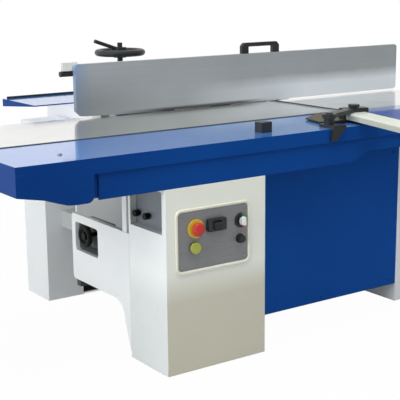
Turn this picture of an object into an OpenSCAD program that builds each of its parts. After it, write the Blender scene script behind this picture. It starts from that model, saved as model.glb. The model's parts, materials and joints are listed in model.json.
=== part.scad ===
// Combination planer thicknesser: a floor machine with long planer tables over a power-fed thicknesser.
// Working axes: X runs to the right along the tables from the cabinet's left side, Y runs back from the
// front of the blue table, and Z runs up from the floor. framed() moves all of it to the model's origin.

/* [Tables] */
// Height of the outfeed table's ground top above the floor
table_top = 805; // [760:1:860]
// Length of the outfeed table, from its lip to the left end
outfeed_l = 1610; // [1300:5:1800]
// Length of the infeed table, from its lip to the right end
infeed_l = 727; // [677:5:1077]
// Depth of the planer tables, front to back
table_d = 485; // [470:1:500]
// Thickness of the table castings
table_t = 40; // [36:1:48]
// Thickness of the tables above the feed rollers
lip_t = 28; // [22:1:32]
// Distance from the cutter axis to each table lip
lip_gap = 30; // [28:1:40]
// Depth of cut that the infeed table is set to
cut_depth = 2; // [0:0.5:4]
// Slope of the infeed table's ways in degrees
ways_slope = 8; // [5:0.5:10]
// Distance that the infeed table is let down along its ways at rest
infeed_set = 28; // [20:1:36]

/* [Front table] */
// Depth of the blue front table
front_d = 352; // [340:1:380]
// Step down from the planer tables to the front table
front_drop = 3; // [1:0.5:8]
// Thickness of the front table's top
front_t = 16; // [10:1:22]
// Height of the front lip, with the top
lip_h = 52; // [40:1:64]
// Thickness of the front lip and apron
apron_t = 14; // [8:1:18]
// Height of the whole blue beam
beam_h = 139; // [125:1:160]
// Length of the belly apron at the left end
belly_l = 270; // [220:5:330]
// Setback of the lower panel behind the lip
panel_set = 8; // [4:1:14]
// Gap between the belly apron and the lower panel
seam = 20; // [6:1:26]
// Gap between the front table and the planer tables
joint_gap = 5; // [3:0.5:8]

/* [Cabinet] */
// Width of the control cabinet
cab_w = 425; // [400:1:460]
// Depth of the control cabinet
cab_d = 244; // [220:1:260]
// Setback of the cabinet's front behind the table's front
cab_y = 6; // [2:1:20]
// Sheet thickness of the white casings
sheet = 4; // [2:0.5:6]
// Height of the left edge of the cabinet, where the knob recess starts
recess_z = 503; // [470:1:540]
// Width of the control panel's bezel
panel_w = 318; // [304:1:330]
// Height of the control panel's bezel
panel_h = 228; // [218:1:240]
// Height of the control panel's centre
panel_z = 473; // [440:1:500]

/* [Base] */
// Height of the left side wall's top
wall_top = 465; // [440:1:500]
// Height of the arch under the left side wall
wall_foot = 200; // [170:1:205]
// Thickness of the left side wall
wall_t = 18; // [12:1:24]
// Length of the left side wall, front to back
wall_l = 433; // [400:1:470]
// Left side of the right column
column_x = 1245; // [1240:1:1260]
// Width of the right column
column_w = 175; // [150:1:200]
// Setback of the blue cover and right column
cover_y = 152; // [130:1:170]
// Height of the blue cover's lower edge
cover_z = 78; // [50:1:110]
// Size of the rear legs along the machine
leg_w = 168; // [140:1:190]
// Size of the rear legs, front to back
leg_d = 200; // [160:1:240]
// Left side of the left rear leg
leg_x = 58; // [50:1:70]
// Front of the rear legs
leg_y = 1030; // [1000:1:1060]
// Radius of the floor anchor holes
anchor_r = 7; // [5:0.5:9]
// Thickness of the two frame plates
plate_t = 12; // [10:1:16]

/* [Rear shelf] */
// Left end of the rear shelf
shelf_x = 36; // [30:1:50]
// Length of the rear shelf
shelf_l = 585; // [560:5:640]
// Depth of the rear shelf
shelf_d = 315; // [240:1:330]
// Height of the rear shelf above the right rear leg
shelf_rise = 33; // [24:1:40]
// Thickness of the rear shelf's plate
shelf_t = 5; // [4:1:10]

/* [Cutterblock and feed] */
// Distance from the cabinet's left side to the cutter axis
cutter_x = 1100; // [1090:1:1108]
// Radius of the cutterblock body
cutter_r = 60; // [56:0.5:62]
// Projection of the knives
knife_out = 2.5; // [1:0.5:3]
// Radius of the cutter shaft
shaft_r = 20; // [15:1:24]
// Number of knives
knife_n = 4; // [3:1:4]
// Radius of the feed rollers
roller_r = 42; // [38:0.5:42]
// Distance from the cutter axis to each feed roller
roller_gap = 115; // [114:1:118]
// Radius of the roller journals
journal_r = 15; // [10:1:18]
// Number of anti-kickback fingers
finger_n = 14; // [8:1:16]
// Radius of the cutter pulley
cutter_pulley_r = 48; // [40:1:50]
// Radius of the motor pulley
motor_pulley_r = 72; // [60:1:76]
// Radius of the main motor
motor_r = 100; // [80:1:105]
// Height of the main motor's axis
motor_z = 332; // [322:1:350]

/* [Thicknesser bed] */
// Height of the bed's top at rest
bed_top = 560; // [540:1:570]
// Length of the bed
bed_l = 640; // [500:5:660]
// Thickness of the bed
bed_t = 45; // [36:1:50]
// Radius of the bed's column
bed_column_r = 70; // [60:1:75]
// Radius of the lead screw
screw_r = 15; // [12:1:18]
// Radius of the handwheel's rim, to its outside
wheel_r = 110; // [100:1:130]
// Height of the handwheel
wheel_z = 1038; // [1020:1:1060]
// Distance from the rear shelf's left end to the handwheel
wheel_along = 438; // [420:1:460]
// Distance from the rear shelf's front to the handwheel
wheel_in = 40; // [35:1:55]

/* [Fence] */
// Length of the fence
fence_l = 1780; // [1500:5:1800]
// Height of the fence
fence_h = 215; // [180:1:230]
// Thickness of the fence
fence_t = 20; // [16:1:24]
// Face of the fence at rest, from the table's front
fence_y = 810; // [800:1:815]
// Left end of the fence
fence_x = 105; // [95:1:130]
// Width of the bridge handle
handle_w = 208; // [160:1:240]
// Centre of the bridge handle along the machine
handle_x = 1038; // [980:1:1080]
// Height of the bridge handle
handle_h = 47; // [38:1:56]
// Side of the square bar that carries the fence
fence_bar_w = 30; // [24:1:32]
// Place of that bar along the machine
fence_bar_x = 900; // [880:1:920]

/* [Guard] */
// Length of the bridge guard bar
guard_l = 450; // [400:5:520]
// Width of the bridge guard bar
guard_w = 90; // [80:1:100]
// Thickness of the bridge guard bar
guard_t = 25; // [20:1:30]
// Angle of the bar to the cutter axis in degrees
guard_turn = 14; // [8:1:18]
// Space under the bar, above the planer tables
guard_lift = 7; // [7:1:12]
// Width of the laminate board, across the bar
board_w = 275; // [240:5:300]
// Length of the laminate board, along the bar
board_l = 240; // [220:5:260]
// Thickness of the laminate board
board_t = 6; // [4:0.5:6]

/* [Clearances] */
// Radial clearance of turning and sliding fits
run_fit = 0.05; // [0.02:0.01:0.1]
// Free gap between parts that pass each other
free_gap = 0.3; // [0.25:0.05:0.5]

/* [Hidden] */
$fn = 64;

// Heights and lines that several pieces share
over = 1;
front_top = table_top - front_drop;
front_under = front_top - front_t;
beam_bottom = front_top - beam_h;
lip_bottom = front_top - lip_h;
table_y = front_d + joint_gap;
table_back = table_y + table_d;
table_left = cutter_x - lip_gap - outfeed_l;
table_right = cutter_x + lip_gap + infeed_l + infeed_set * cos(ways_slope);
plate_in_front = table_y;
plate_in_rear = table_back - plate_t - 2;
plate_rear = plate_in_rear + plate_t;
plate_front = plate_in_front - plate_t;
throat_side = 4;
throat_y0 = plate_in_front + throat_side;
throat_y1 = plate_in_rear - throat_side;
plate_x0 = 100;
plate_x1 = 1500;
outfeed_under = table_top - table_t;
infeed_top = table_top - cut_depth;
infeed_under = infeed_top - table_t;
plate_low_top = infeed_under - 28;
cutter_z = table_top - cutter_r - knife_out;
cut_r = cutter_r + knife_out;
roller_z = cutter_z - cut_r + roller_r - 2;
rear_leg_top = table_top + 5;
shelf_top = rear_leg_top + shelf_rise;
shelf_under = shelf_top - shelf_t;
left_leg_top = table_top - table_t;
thin_end = roller_gap + 60;
thin_slope = 12;
block_half = 52;
boss_rise = 60;
shelf_y = leg_y + 15;
shelf_back = shelf_y + shelf_d;
leg_right_x = column_x - 30;
wheel_x = shelf_x + wheel_along;
wheel_y = shelf_y + wheel_in;

// Controls on the panel, set in from its edges
panel_left = 36;
panel_x = panel_left + panel_w / 2;
panel_right = panel_left + panel_w;
panel_top = panel_z + panel_h / 2;
collar_r = 33;
switch_w = 76;
selector_ring_r = 26;
estop_at = [panel_left + 83, panel_top - 73];
start_at = [panel_left + 77, panel_top - 139];
selector_at = [panel_right - 42, panel_top - 70];
dial_at = [panel_right - 47, panel_top - 135];
switch_room = selector_at[0] - selector_ring_r - estop_at[0] - collar_r - switch_w;
switch_at = [estop_at[0] + collar_r + 0.207 * switch_room + switch_w / 2, panel_top - 68];
bezel_rim = 11;
bezel_proud = 6;
panel_plate_t = 3;
panel_face = cab_y - panel_plate_t;
collar_t = 5;
estop_travel = 6;
start_travel = 4;
switch_h = 44;
switch_t = 16;
rocker_w = 34;
rocker_h = 28;
rocker_pin_r = 3;
selector_disc_r = 16;
selector_stem_r = 6;
rocker_y = panel_face - switch_t + 5;

// Recess knobs beside the cabinet's upper end
recess_x = 30;
recess_t = 6;
recess_knobs = [[221, 544], [155, 544]];
recess_stem_r = 5;
gland_at = [200, 120];
gland_r = 9;

// Left side wall, its window and the wheel in it
wall_y = cab_y + cab_d;
window_y = wall_y + 318;
window_z = wall_foot + 177;
window_w = 176;
window_h = 112;
window_wheel_r = 46;
window_wheel_y = window_y + 34;
window_wheel_z = window_z + 6;
window_rim_r = 10;
window_spindle_r = 8;

// Floor anchors, one in each foot
anchor_left = 142;
anchor_right = column_x + 87;
anchor_front = cover_y + 60;
anchor_rear = leg_y + 100;
foot_t = 8;

// Lower rails and the bed's lift
rail_y = wall_y;
rail_z = 210;
rail_h = 80;
rear_rail_z = 110;
rear_rail_h = 80;
rear_rail_y = plate_rear - 24;
bed_y = (plate_in_front + plate_in_rear) / 2;
support_z = 80;
support_h = 70;
support_w = 200;
housing_t = 20;
housing_h = 250;
housing_top = support_z + support_h + housing_h;
bed_under = bed_top - bed_t;
column_l = bed_under - support_z - support_h - 112;
nut_t = 30;
lift_sprocket_r = 30;
lift_sprocket_z = 60;
lift_sprocket_t = 12;
chain_t = 6;
band_steps = 24;
screw_journal_r = 12;
screw_top = bed_under - 90;
wheel_shaft_r = 12;
rim_r = 14;

// Feed drive in front of the front plate
feed_sprocket_r = 30;
feed_sprocket_t = 12;
feed_sprocket_y = plate_front - 23;
gear_x = cutter_x;
gear_z = roller_z - 120;
gear_shaft_r = 12;
chain_points = [[cutter_x - roller_gap, roller_z], [gear_x, gear_z], [cutter_x + roller_gap, roller_z]];
finger_rod_x = cutter_x - 200;
finger_rod_r = 8;
finger_drop = roller_z - cutter_z + cut_r + 2;
knife_t = 3;
gib_t = 10;
knife_r0 = 30;

// Belt drive behind the rear plate
pulley_y = plate_rear + 14;
pulley_l = 38;
belt_t = 5;
motor_shaft_r = 14;
motor_y = pulley_y + pulley_l + 8;
motor_l = 250;
mount_z = motor_z - motor_r - 15;
mount_t = 10;

// Infeed ways and depth screw
ways_x0 = 1280;
ways_x1 = 1500;
ways_w = 40;
ways_h = 43;
ways_z = plate_low_top - ways_h;
depth_travel = 45;
depth_screw_r = 8;
depth_screw_x = ways_x1 - 10;
depth_screw_z = ways_z + 24;
depth_lug_x = 70;
depth_screw_l = 240;
depth_knob_r = 30;

// Fence carriage
fence_z = table_top + 3;
fence_back = fence_y + fence_t;
tilt_y = fence_back + 18;
tilt_z = fence_z + 18;
tilt_r = 11;
tilt_pin_r = 6;
knuckle_w = 36;
bar_y = tilt_y + 32;
bar_z = tilt_z - 4;
bar_end = 1285;
guide_y0 = tilt_y + 47;
guide_l = 70;
guide_wall = 18;
lock_screw_r = 6;
lever_x = fence_x + 23;
lever_z = fence_z + 192;

// Guard bracket, post, clamp and bar
guard_z = table_top + guard_lift;
guard_top = guard_z + guard_t;
guard_dir = [sin(guard_turn), cos(guard_turn)];
clamp_at = [950, 115];
post_at = [755, 40];
post_r = 14;
clamp_l = 44;
clamp_t = 16;
guard_rear = 36;
knob_stem_r = 6;
board_top = guard_z - free_gap;
guard_tip_y = clamp_at[1] + (guard_rear - guard_l) * guard_dir[1] - guard_w / 2 * guard_dir[0];

// Origin: the middle of the machine's outline on the floor
origin_x = (table_left + table_right) / 2;
origin_y = (guard_tip_y + shelf_back) / 2;
module framed() {
  translate([-origin_x, -origin_y, 0]) children();
}

// Building blocks, placed by their limits
module box(x0, x1, y0, y1, z0, z1) {
  translate([x0, y0, z0]) cube([x1 - x0, y1 - y0, z1 - z0]);
}
module rod_x(y, z, x0, x1, r) {
  translate([x0, y, z]) rotate([0, 90, 0]) cylinder(h = x1 - x0, r = r);
}
module rod_y(x, z, y0, y1, r) {
  translate([x, y0, z]) rotate([-90, 0, 0]) cylinder(h = y1 - y0, r = r);
}
module rod_z(x, y, z0, z1, r) {
  translate([x, y, z0]) cylinder(h = z1 - z0, r = r);
}
// An outline in X and Z, thickened from y0 to y1
module slab_xz(y0, y1) {
  translate([0, y1, 0]) rotate([90, 0, 0]) linear_extrude(y1 - y0) children();
}
// An outline in Y and Z, thickened from x0 to x1
module slab_yz(x0, x1) {
  translate([x0, 0, 0]) rotate([90, 0, 90]) linear_extrude(x1 - x0) children();
}
// A flat outline, thickened from z0 to z1
module slab_xy(z0, z1) {
  translate([0, 0, z0]) linear_extrude(z1 - z0) children();
}
module rounded(w, h, r) {
  square([w - 2 * r, h], center = true);
  square([w, h - 2 * r], center = true);
  for (sx = [-1, 1], sy = [-1, 1]) translate([sx * (w / 2 - r), sy * (h / 2 - r)]) circle(r);
}
// The outline of a band stretched round equal circles at the given points, listed anticlockwise
function heading(a, b) = atan2(b[1] - a[1], b[0] - a[0]) - 90;
function turned(a, b, c) = (heading(b, c) - heading(a, b) + 720) % 360;
function before(points, i) = points[(i + len(points) - 1) % len(points)];
function after(points, i) = points[(i + 1) % len(points)];
module stretched(points, r) {
  polygon([for (i = [0 : len(points) - 1], k = [0 : band_steps])
    let (a = before(points, i), b = points[i], c = after(points, i),
      angle = heading(a, b) + turned(a, b, c) * k / band_steps)
    b + r * [cos(angle), sin(angle)]]);
}
// The outline of a band round two wheels, the first at the origin and the second a distance below
function arc(c, r, a0, a1) = [for (k = [0 : band_steps]) let (a = a0 + (a1 - a0) * k / band_steps)
  c + r * [cos(a), sin(a)]];
module two_wheels(r1, r2, d) {
  lean = asin((r2 - r1) / d);
  polygon(concat(arc([0, 0], r1, lean, 180 - lean), arc([0, -d], r2, 180 - lean, 360 + lean)));
}
// An open-bottomed sheet-metal column with a foot plate and an anchor hole
module column_shell(x0, x1, y0, y1, top, anchor) {
  difference() {
    box(x0, x1, y0, y1, 0, top);
    box(x0 + sheet, x1 - sheet, y0 + sheet, y1 - sheet, foot_t, top - sheet);
    rod_z(anchor[0], anchor[1], -over, foot_t + over, anchor_r);
  }
}

// White control cabinet, a folded sheet column whose upper left side is open beside the knobs
module control_cabinet() {
  back = cab_y + cab_d;
  color("white") framed() difference() {
    union() {
      column_shell(0, cab_w, cab_y, back, beam_bottom, [anchor_left, anchor_front]);
      box(sheet, cab_w - sheet, cab_y + sheet, back - sheet, recess_z - sheet, recess_z);
      rod_y(gland_at[0], gland_at[1], back - over, back + 22, gland_r + 8);
    }
    rod_y(gland_at[0], gland_at[1], back - 2 * sheet, back + 22 + over, gland_r);
    box(-over, sheet + over, cab_y + 25, back - 12, recess_z, beam_bottom - 12);
    slab_xz(cab_y - over, cab_y + sheet + over)
      translate([panel_x, panel_z]) rounded(panel_w - 4 * bezel_rim, panel_h - 4 * bezel_rim, 12);
  }
}

// Beige frame round the control panel
module panel_bezel() {
  color("beige") framed() slab_xz(cab_y - bezel_proud, cab_y) difference() {
    translate([panel_x, panel_z]) rounded(panel_w, panel_h, 24);
    translate([panel_x, panel_z]) rounded(panel_w - 2 * bezel_rim, panel_h - 2 * bezel_rim, 14);
  }
}

// Grey plate that carries the switches, resting on the cabinet's front inside the bezel
module panel_plate() {
  color("gray") framed() difference() {
    slab_xz(panel_face, cab_y) translate([panel_x, panel_z])
      rounded(panel_w - 2 * bezel_rim - free_gap, panel_h - 2 * bezel_rim - free_gap, 14);
    for (hole = [[estop_at, 9], [start_at, 7], [selector_at, selector_stem_r], [dial_at, 5]])
      rod_y(hole[0][0], hole[0][1], panel_face - over, cab_y + over, hole[1] + run_fit);
    box(switch_at[0] - rocker_w / 2, switch_at[0] + rocker_w / 2, panel_face - over, cab_y + over,
      switch_at[1] - rocker_h / 2, switch_at[1] + rocker_h / 2);
  }
}

// Yellow collar under the emergency stop
module estop_collar() {
  color("gold") framed() difference() {
    rod_y(estop_at[0], estop_at[1], panel_face - collar_t, panel_face, collar_r);
    rod_y(estop_at[0], estop_at[1], panel_face - collar_t - over, panel_face + over, 12);
  }
}

// Red mushroom head on its stem
module estop_button() {
  head = panel_face - collar_t - estop_travel - free_gap;
  color("firebrick") framed() translate([estop_at[0], head, estop_at[1]]) rotate([90, 0, 0]) {
    rotate_extrude() polygon([[0, 0], [20, 0], [24, 4], [24, 10], [20, 16], [10, 19], [0, 19]]);
    translate([0, 0, -30]) cylinder(h = 31, r = 9);
  }
}

// Yellow-green push button
module start_button() {
  back = panel_face - start_travel - free_gap;
  color("yellowgreen") framed() {
    rod_y(start_at[0], start_at[1], back - 9, back, 20);
    rod_y(start_at[0], start_at[1], back - over, cab_y + 14, 7);
  }
}

// Black housing of the main rocker switch, and the black ring behind the selector
module switch_housings() {
  color("black") framed() difference() {
    union() {
      slab_xz(panel_face - switch_t, panel_face) translate(switch_at) rounded(switch_w, switch_h, 5);
      rod_y(selector_at[0], selector_at[1], panel_face - collar_t, panel_face, selector_ring_r);
    }
    rod_y(selector_at[0], selector_at[1], panel_face - collar_t - over, panel_face + over,
      selector_stem_r + free_gap);
    box(switch_at[0] - rocker_w / 2, switch_at[0] + rocker_w / 2, panel_face - switch_t - over,
      panel_face + over, switch_at[1] - rocker_h / 2, switch_at[1] + rocker_h / 2);
    rod_x(rocker_y, switch_at[1], switch_at[0] - rocker_w / 2 - 6, switch_at[0] + rocker_w / 2 + 6,
      rocker_pin_r + run_fit);
  }
}

// Dished rocker on its pin
module rocker_switch() {
  half = rocker_w / 2 - free_gap;
  color("darkslategray") framed() {
    slab_yz(switch_at[0] - half, switch_at[0] + half) translate([rocker_y, switch_at[1]])
      polygon([[-13, -11], [-8, 0], [-13, 11], [5, 10], [5, -10]]);
    rod_x(rocker_y, switch_at[1], switch_at[0] - half - 5, switch_at[0] + half + 5, rocker_pin_r);
  }
}

// Rotary selector with a raised pointer bar
module selector_knob() {
  back = panel_face - collar_t - free_gap;
  color("whitesmoke") framed() {
    rod_y(selector_at[0], selector_at[1], back - 9, back, selector_disc_r);
    slab_xz(back - 22, back - 8) translate(selector_at) rounded(11, 2 * selector_disc_r - 2, 4);
    rod_y(selector_at[0], selector_at[1], back - over, cab_y + 12, selector_stem_r);
  }
}

// Small black dial knob
module dial_knob() {
  back = panel_face - free_gap;
  color("black") framed() {
    rod_y(dial_at[0], dial_at[1], back - 6, back, 17);
    rod_y(dial_at[0], dial_at[1], back - 20, back - 6, 13);
    rod_y(dial_at[0], dial_at[1], back - over, cab_y + 12, 5);
  }
}

// Grey plate in the recess, with a bearing hole for each knob
module recess_plate() {
  color("dimgray") framed() difference() {
    box(recess_x, recess_x + recess_t, cab_y + 25, cab_y + cab_d - sheet, recess_z, beam_bottom - sheet);
    for (at = recess_knobs)
      rod_x(at[0], at[1], recess_x - over, recess_x + recess_t + over, recess_stem_r + run_fit);
  }
}
module recess_knob(at) {
  rod_x(at[0], at[1], recess_x - 24, recess_x - 6, 12);
  rod_x(at[0], at[1], recess_x - 8, recess_x + recess_t + 22, recess_stem_r);
}
// Pull knob that engages the power feed
module feed_knob() {
  color("black") framed() recess_knob(recess_knobs[0]);
}
// Turn knob that locks the feed speed
module lock_knob() {
  color("black") framed() recess_knob(recess_knobs[1]);
}

// White left side wall with its arch, gusset and window
module left_side_wall() {
  back = wall_y + wall_l;
  corner = 14;
  gusset = 70;
  color("white") framed() slab_yz(0, wall_t) difference() {
    union() {
      translate([wall_y, wall_foot]) square([wall_l - corner, wall_top - wall_foot]);
      translate([wall_y, wall_foot + corner]) square([wall_l, wall_top - wall_foot - 2 * corner]);
      for (z = [wall_foot + corner, wall_top - corner]) translate([back - corner, z]) circle(corner);
      difference() {
        polygon([[wall_y, 20], [wall_y + 40, wall_foot - gusset], [wall_y + 40 + gusset, wall_foot - gusset],
          [wall_y + 40 + gusset, wall_foot + over], [wall_y, wall_foot + over]]);
        translate([wall_y + 40 + gusset, wall_foot - gusset]) circle(gusset);
      }
    }
    translate([window_y, window_z]) rounded(window_w, window_h, 12);
  }
}

// Dark pocket behind the window, which carries the wheel's spindle
module window_pocket() {
  depth = 60;
  color("#222") framed() difference() {
    slab_yz(wall_t, wall_t + depth) translate([window_y, window_z]) rounded(window_w + 20, window_h + 20, 16);
    slab_yz(wall_t - over, wall_t + depth - 10) translate([window_y, window_z])
      rounded(window_w, window_h, 12);
    rod_x(window_wheel_y, window_wheel_z, 0, wall_t + depth + over, window_spindle_r + run_fit);
  }
}

// Black dished wheel in the window, which clamps the bed's column
module window_wheel() {
  color("black") framed() translate([4, window_wheel_y, window_wheel_z]) rotate([0, 90, 0]) {
    rotate_extrude() translate([window_wheel_r - window_rim_r, window_rim_r]) circle(window_rim_r);
    translate([0, 0, window_rim_r - 2]) cylinder(h = 8, r = window_wheel_r - window_rim_r);
    cylinder(h = 24, r = 15);
    cylinder(h = wall_t + 66, r = window_spindle_r);
  }
}

// Square post between the side wall and the front table
module table_post() {
  color("white") framed() box(2, 32, wall_y + 18, wall_y + 48, wall_top, front_under);
}

// Blue sheet cover between the cabinet and the right column
module front_cover() {
  fold = 40;
  color("royalblue") framed() difference() {
    box(cab_w, column_x, cover_y, cover_y + fold, cover_z, beam_bottom);
    box(cab_w + sheet, column_x - sheet, cover_y + sheet, cover_y + fold + over, cover_z + sheet,
      beam_bottom - sheet);
  }
}

// White column under the right end of the front table
module right_column() {
  color("white") framed()
    column_shell(column_x, column_x + column_w, cover_y, plate_front, beam_bottom,
      [anchor_right, anchor_front]);
}

// Two white rear legs
module rear_legs() {
  color("white") framed() {
    column_shell(leg_x, leg_x + leg_w, leg_y, leg_y + leg_d, left_leg_top, [anchor_left, anchor_rear]);
    column_shell(leg_right_x, leg_right_x + leg_w, leg_y, leg_y + leg_d, rear_leg_top,
      [anchor_right, anchor_rear]);
  }
}

// Steel rails that tie the columns, frame plates and rear legs together
module base_rails() {
  arm_w = 40;
  arm_low = outfeed_under - 60;
  arm_step = outfeed_under - 10;
  color("slategray") framed() {
    box(wall_t, column_x, rail_y, plate_front, rail_z, rail_z + rail_h);
    box(plate_x0, plate_x1 - 200, rear_rail_y, plate_rear + 6, rear_rail_z, rear_rail_z + rear_rail_h);
    for (x = [leg_x + 74, leg_right_x + 50], z = [320, 580]) box(x, x + 60, plate_rear, leg_y, z, z + 70);
    for (x = [leg_x + leg_w + 14, shelf_x + shelf_l - 60]) {
      box(x, x + arm_w, plate_rear, shelf_back - 20, arm_low, arm_step);
      box(x, x + arm_w, table_back + 12, shelf_back - 20, arm_step - over, shelf_under);
    }
    difference() {
      box(leg_x + leg_w, wheel_x + 34, wheel_y - 28, wheel_y + 28, lift_sprocket_z + 24,
        lift_sprocket_z + 48);
      rod_z(wheel_x, wheel_y, lift_sprocket_z, lift_sprocket_z + 60, wheel_shaft_r + run_fit);
    }
    spacer(60, 200, cab_y + 40, 160);
    spacer(column_x + 20, 130, cover_y + 20, 140);
  }
}
// Box spacer that carries the front table on the cabinet or the right column
module spacer(x, w, y, d) {
  wall = 8;
  difference() {
    box(x, x + w, y, y + d, beam_bottom, front_under);
    box(x + wall, x + w - wall, y + wall, y + d - wall, beam_bottom - over, front_under + over);
  }
}

// Outline of a frame plate: full height under the outfeed table, lower under the sliding infeed table
module plate_outline(bottom) {
  seat = cutter_x - 52;
  difference() {
    polygon([[plate_x0, bottom], [plate_x1, bottom], [plate_x1, plate_low_top],
      [cutter_x + 60, plate_low_top], [cutter_x + 60, outfeed_under], [plate_x0, outfeed_under]]);
    translate([seat, cutter_z - 52]) square([104, 200]);
    for (side = [-1, 1]) translate([cutter_x + side * roller_gap, roller_z]) circle(journal_r + run_fit);
    translate([finger_rod_x, roller_z]) circle(finger_rod_r + run_fit);
  }
}
// A sloping rail that carries one side of the infeed table
module ways(y0, y1) {
  drop = (ways_x1 - ways_x0) * tan(ways_slope);
  slab_xz(y0, y1) polygon([[ways_x0, ways_z], [ways_x1, ways_z], [ways_x1, plate_low_top - drop],
    [ways_x0, plate_low_top]]);
}

// Front frame plate with the outfeed table's ledger and the front ways
module front_plate() {
  color("gainsboro") framed() {
    slab_xz(plate_front, plate_in_front) plate_outline(rail_z);
    box(plate_x0 + 10, finger_rod_x - 40, plate_in_front, plate_in_front + 24, outfeed_under - 30,
      outfeed_under);
    ways(plate_in_front, plate_in_front + ways_w);
    difference() {
      box(ways_x1 - 24, ways_x1 - 4, plate_in_front + ways_w, plate_in_rear - ways_w, ways_z, ways_z + 46);
      depth_axis() translate([0, 0, -40]) cylinder(h = 80, r = depth_screw_r + run_fit);
    }
  }
}

// Rear frame plate with the rear ways
module rear_plate() {
  color("gainsboro") framed() {
    slab_xz(plate_in_rear, plate_rear) plate_outline(rear_rail_z + rear_rail_h);
    ways(plate_in_rear - ways_w, plate_in_rear);
  }
}

// Blue front table with its lip, left end plate and belly apron
module front_table() {
  belly_x = table_left + belly_l;
  belly_z = beam_bottom - 4;
  end_z = beam_bottom + 43;
  belly_r = 26;
  color("royalblue") framed() {
    box(table_left, table_right, 0, front_d, front_under, front_top);
    box(table_left, table_right, 0, apron_t, lip_bottom, front_under);
    box(table_left, table_left + apron_t, apron_t, front_d, end_z, front_under);
    slab_xz(0, apron_t) {
      polygon([[table_left, end_z], [table_left + 93, end_z - 18], [table_left + 137, end_z - 33],
        [table_left + 172, belly_z + 3], [table_left + 207, belly_z], [belly_x - belly_r, belly_z],
        [belly_x, belly_z + belly_r], [belly_x, lip_bottom + over], [table_left, lip_bottom + over]]);
      translate([belly_x - belly_r, belly_z + belly_r]) circle(belly_r);
    }
  }
}

// Recessed blue panel under the lip, shallower at its right end, with a strip behind its left seam
module lower_panel() {
  start = table_left + belly_l + seam;
  rise = 34;
  step_x = 846;
  panel_back = panel_set + 8;
  color("royalblue") framed() {
    slab_xz(panel_set, panel_back)
      polygon([[start, beam_bottom], [step_x, beam_bottom], [step_x + 86, beam_bottom + rise],
        [table_right - 20, beam_bottom + rise], [table_right - 20, lip_bottom], [start, lip_bottom]]);
    box(start - seam + 1, start + 14, panel_back - over, panel_back + 4, beam_bottom + 6, lip_bottom);
  }
}

// Profile of a table's cutter end: a thin lip over the block, then the thick casting
function table_profile(end, top, near) = [[lip_gap, top], [lip_gap + 0.5, top - 5], [near, top - lip_t],
  [thin_end, top - lip_t], [thin_end + thin_slope, top - table_t], [end, top - table_t], [end, top]];

// Ground cast-iron outfeed table with two ribs underneath
module outfeed_table() {
  color("lightgray") framed() {
    slab_xz(table_y, table_back) translate([cutter_x, 0]) mirror([1, 0])
      polygon(table_profile(lip_gap + outfeed_l, table_top, lip_gap + 36));
    for (y = [table_y + 90, table_back - 120])
      box(table_left + 60, finger_rod_x - 60, y, y + 24, outfeed_under - 42, outfeed_under + over);
  }
}

// Ground infeed table with the sloping runners and the lug of the depth screw
module infeed_table() {
  drop = (ways_x1 - ways_x0) * tan(ways_slope);
  gap = free_gap / cos(ways_slope);
  color("lightgray") framed() translate([infeed_set * cos(ways_slope), 0, -infeed_set * sin(ways_slope)]) {
    slab_xz(table_y, table_back) translate([cutter_x, 0])
      polygon(table_profile(lip_gap + infeed_l, infeed_top, lip_gap + 36));
    for (y = [plate_in_front + 4, plate_in_rear - ways_w + 4]) slab_xz(y, y + ways_w - 8)
      polygon([[ways_x0 + 12, plate_low_top + gap - 12 * tan(ways_slope)],
        [ways_x1, plate_low_top - drop + gap], [ways_x1, infeed_under + over],
        [ways_x0 + 12, infeed_under + over]]);
    difference() {
      box(depth_screw_x + depth_lug_x, depth_screw_x + depth_lug_x + 30, bed_y - 25, bed_y + 25, ways_z - 6,
        infeed_under + over);
      depth_axis() cylinder(h = depth_screw_l, r = depth_screw_r + free_gap);
    }
  }
}
// Axis of the depth screw, along the slope of the ways
module depth_axis() {
  translate([depth_screw_x, bed_y, depth_screw_z]) rotate([0, 90 + ways_slope, 0]) children();
}

// Depth screw with a star knob under the infeed table
module depth_screw() {
  color("black") framed() depth_axis() {
    translate([0, 0, -14]) cylinder(h = depth_screw_l + 14, r = depth_screw_r);
    translate([0, 0, depth_screw_l]) difference() {
      cylinder(h = 26, r = depth_knob_r);
      for (a = [0 : 60 : 300]) rotate(a) translate([depth_knob_r + 4, 0, -over]) cylinder(h = 28, r = 9);
    }
  }
}

// Blue shelf behind the fence, with a left gusset, a thin rear rail and the handwheel shaft's bearing
module rear_shelf() {
  boss_low = shelf_under - 40;
  boss_top = shelf_top + boss_rise;
  color("royalblue") framed() difference() {
    union() {
      box(shelf_x, shelf_x + shelf_l, shelf_y, shelf_back, shelf_under, shelf_top);
      box(shelf_x + 20, shelf_x + shelf_l, shelf_back - 5, shelf_back, shelf_top - over, shelf_top + 7);
      slab_yz(shelf_x, shelf_x + 6)
        polygon([[shelf_y, shelf_under + over], [shelf_y, shelf_under], [shelf_back, rear_leg_top],
          [shelf_back, shelf_under + over]]);
      rod_z(wheel_x, wheel_y, boss_low, boss_top, 26);
    }
    rod_z(wheel_x, wheel_y, boss_low - over, boss_top + over, wheel_shaft_r + run_fit);
  }
}

// Two bearing blocks in the seats of the frame plates
module bearing_housings() {
  color("dimgray") framed() for (y = [[plate_front - 10, plate_in_front], [plate_in_rear, plate_rear + 10]])
    difference() {
      box(cutter_x - block_half, cutter_x + block_half, y[0], y[1], cutter_z - block_half, front_under - 4);
      rod_y(cutter_x, cutter_z, y[0] - over, y[1] + over, shaft_r + run_fit);
    }
}

// One knife slot or bar, pointing outwards from the cutter axis
module knife_bar(index, side, thick, r0, r1, y0, y1) {
  translate([cutter_x, 0, cutter_z]) rotate([0, index * 360 / knife_n + 20, 0])
    translate([side, y0, r0]) cube([thick, y1 - y0, r1 - r0]);
}

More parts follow.
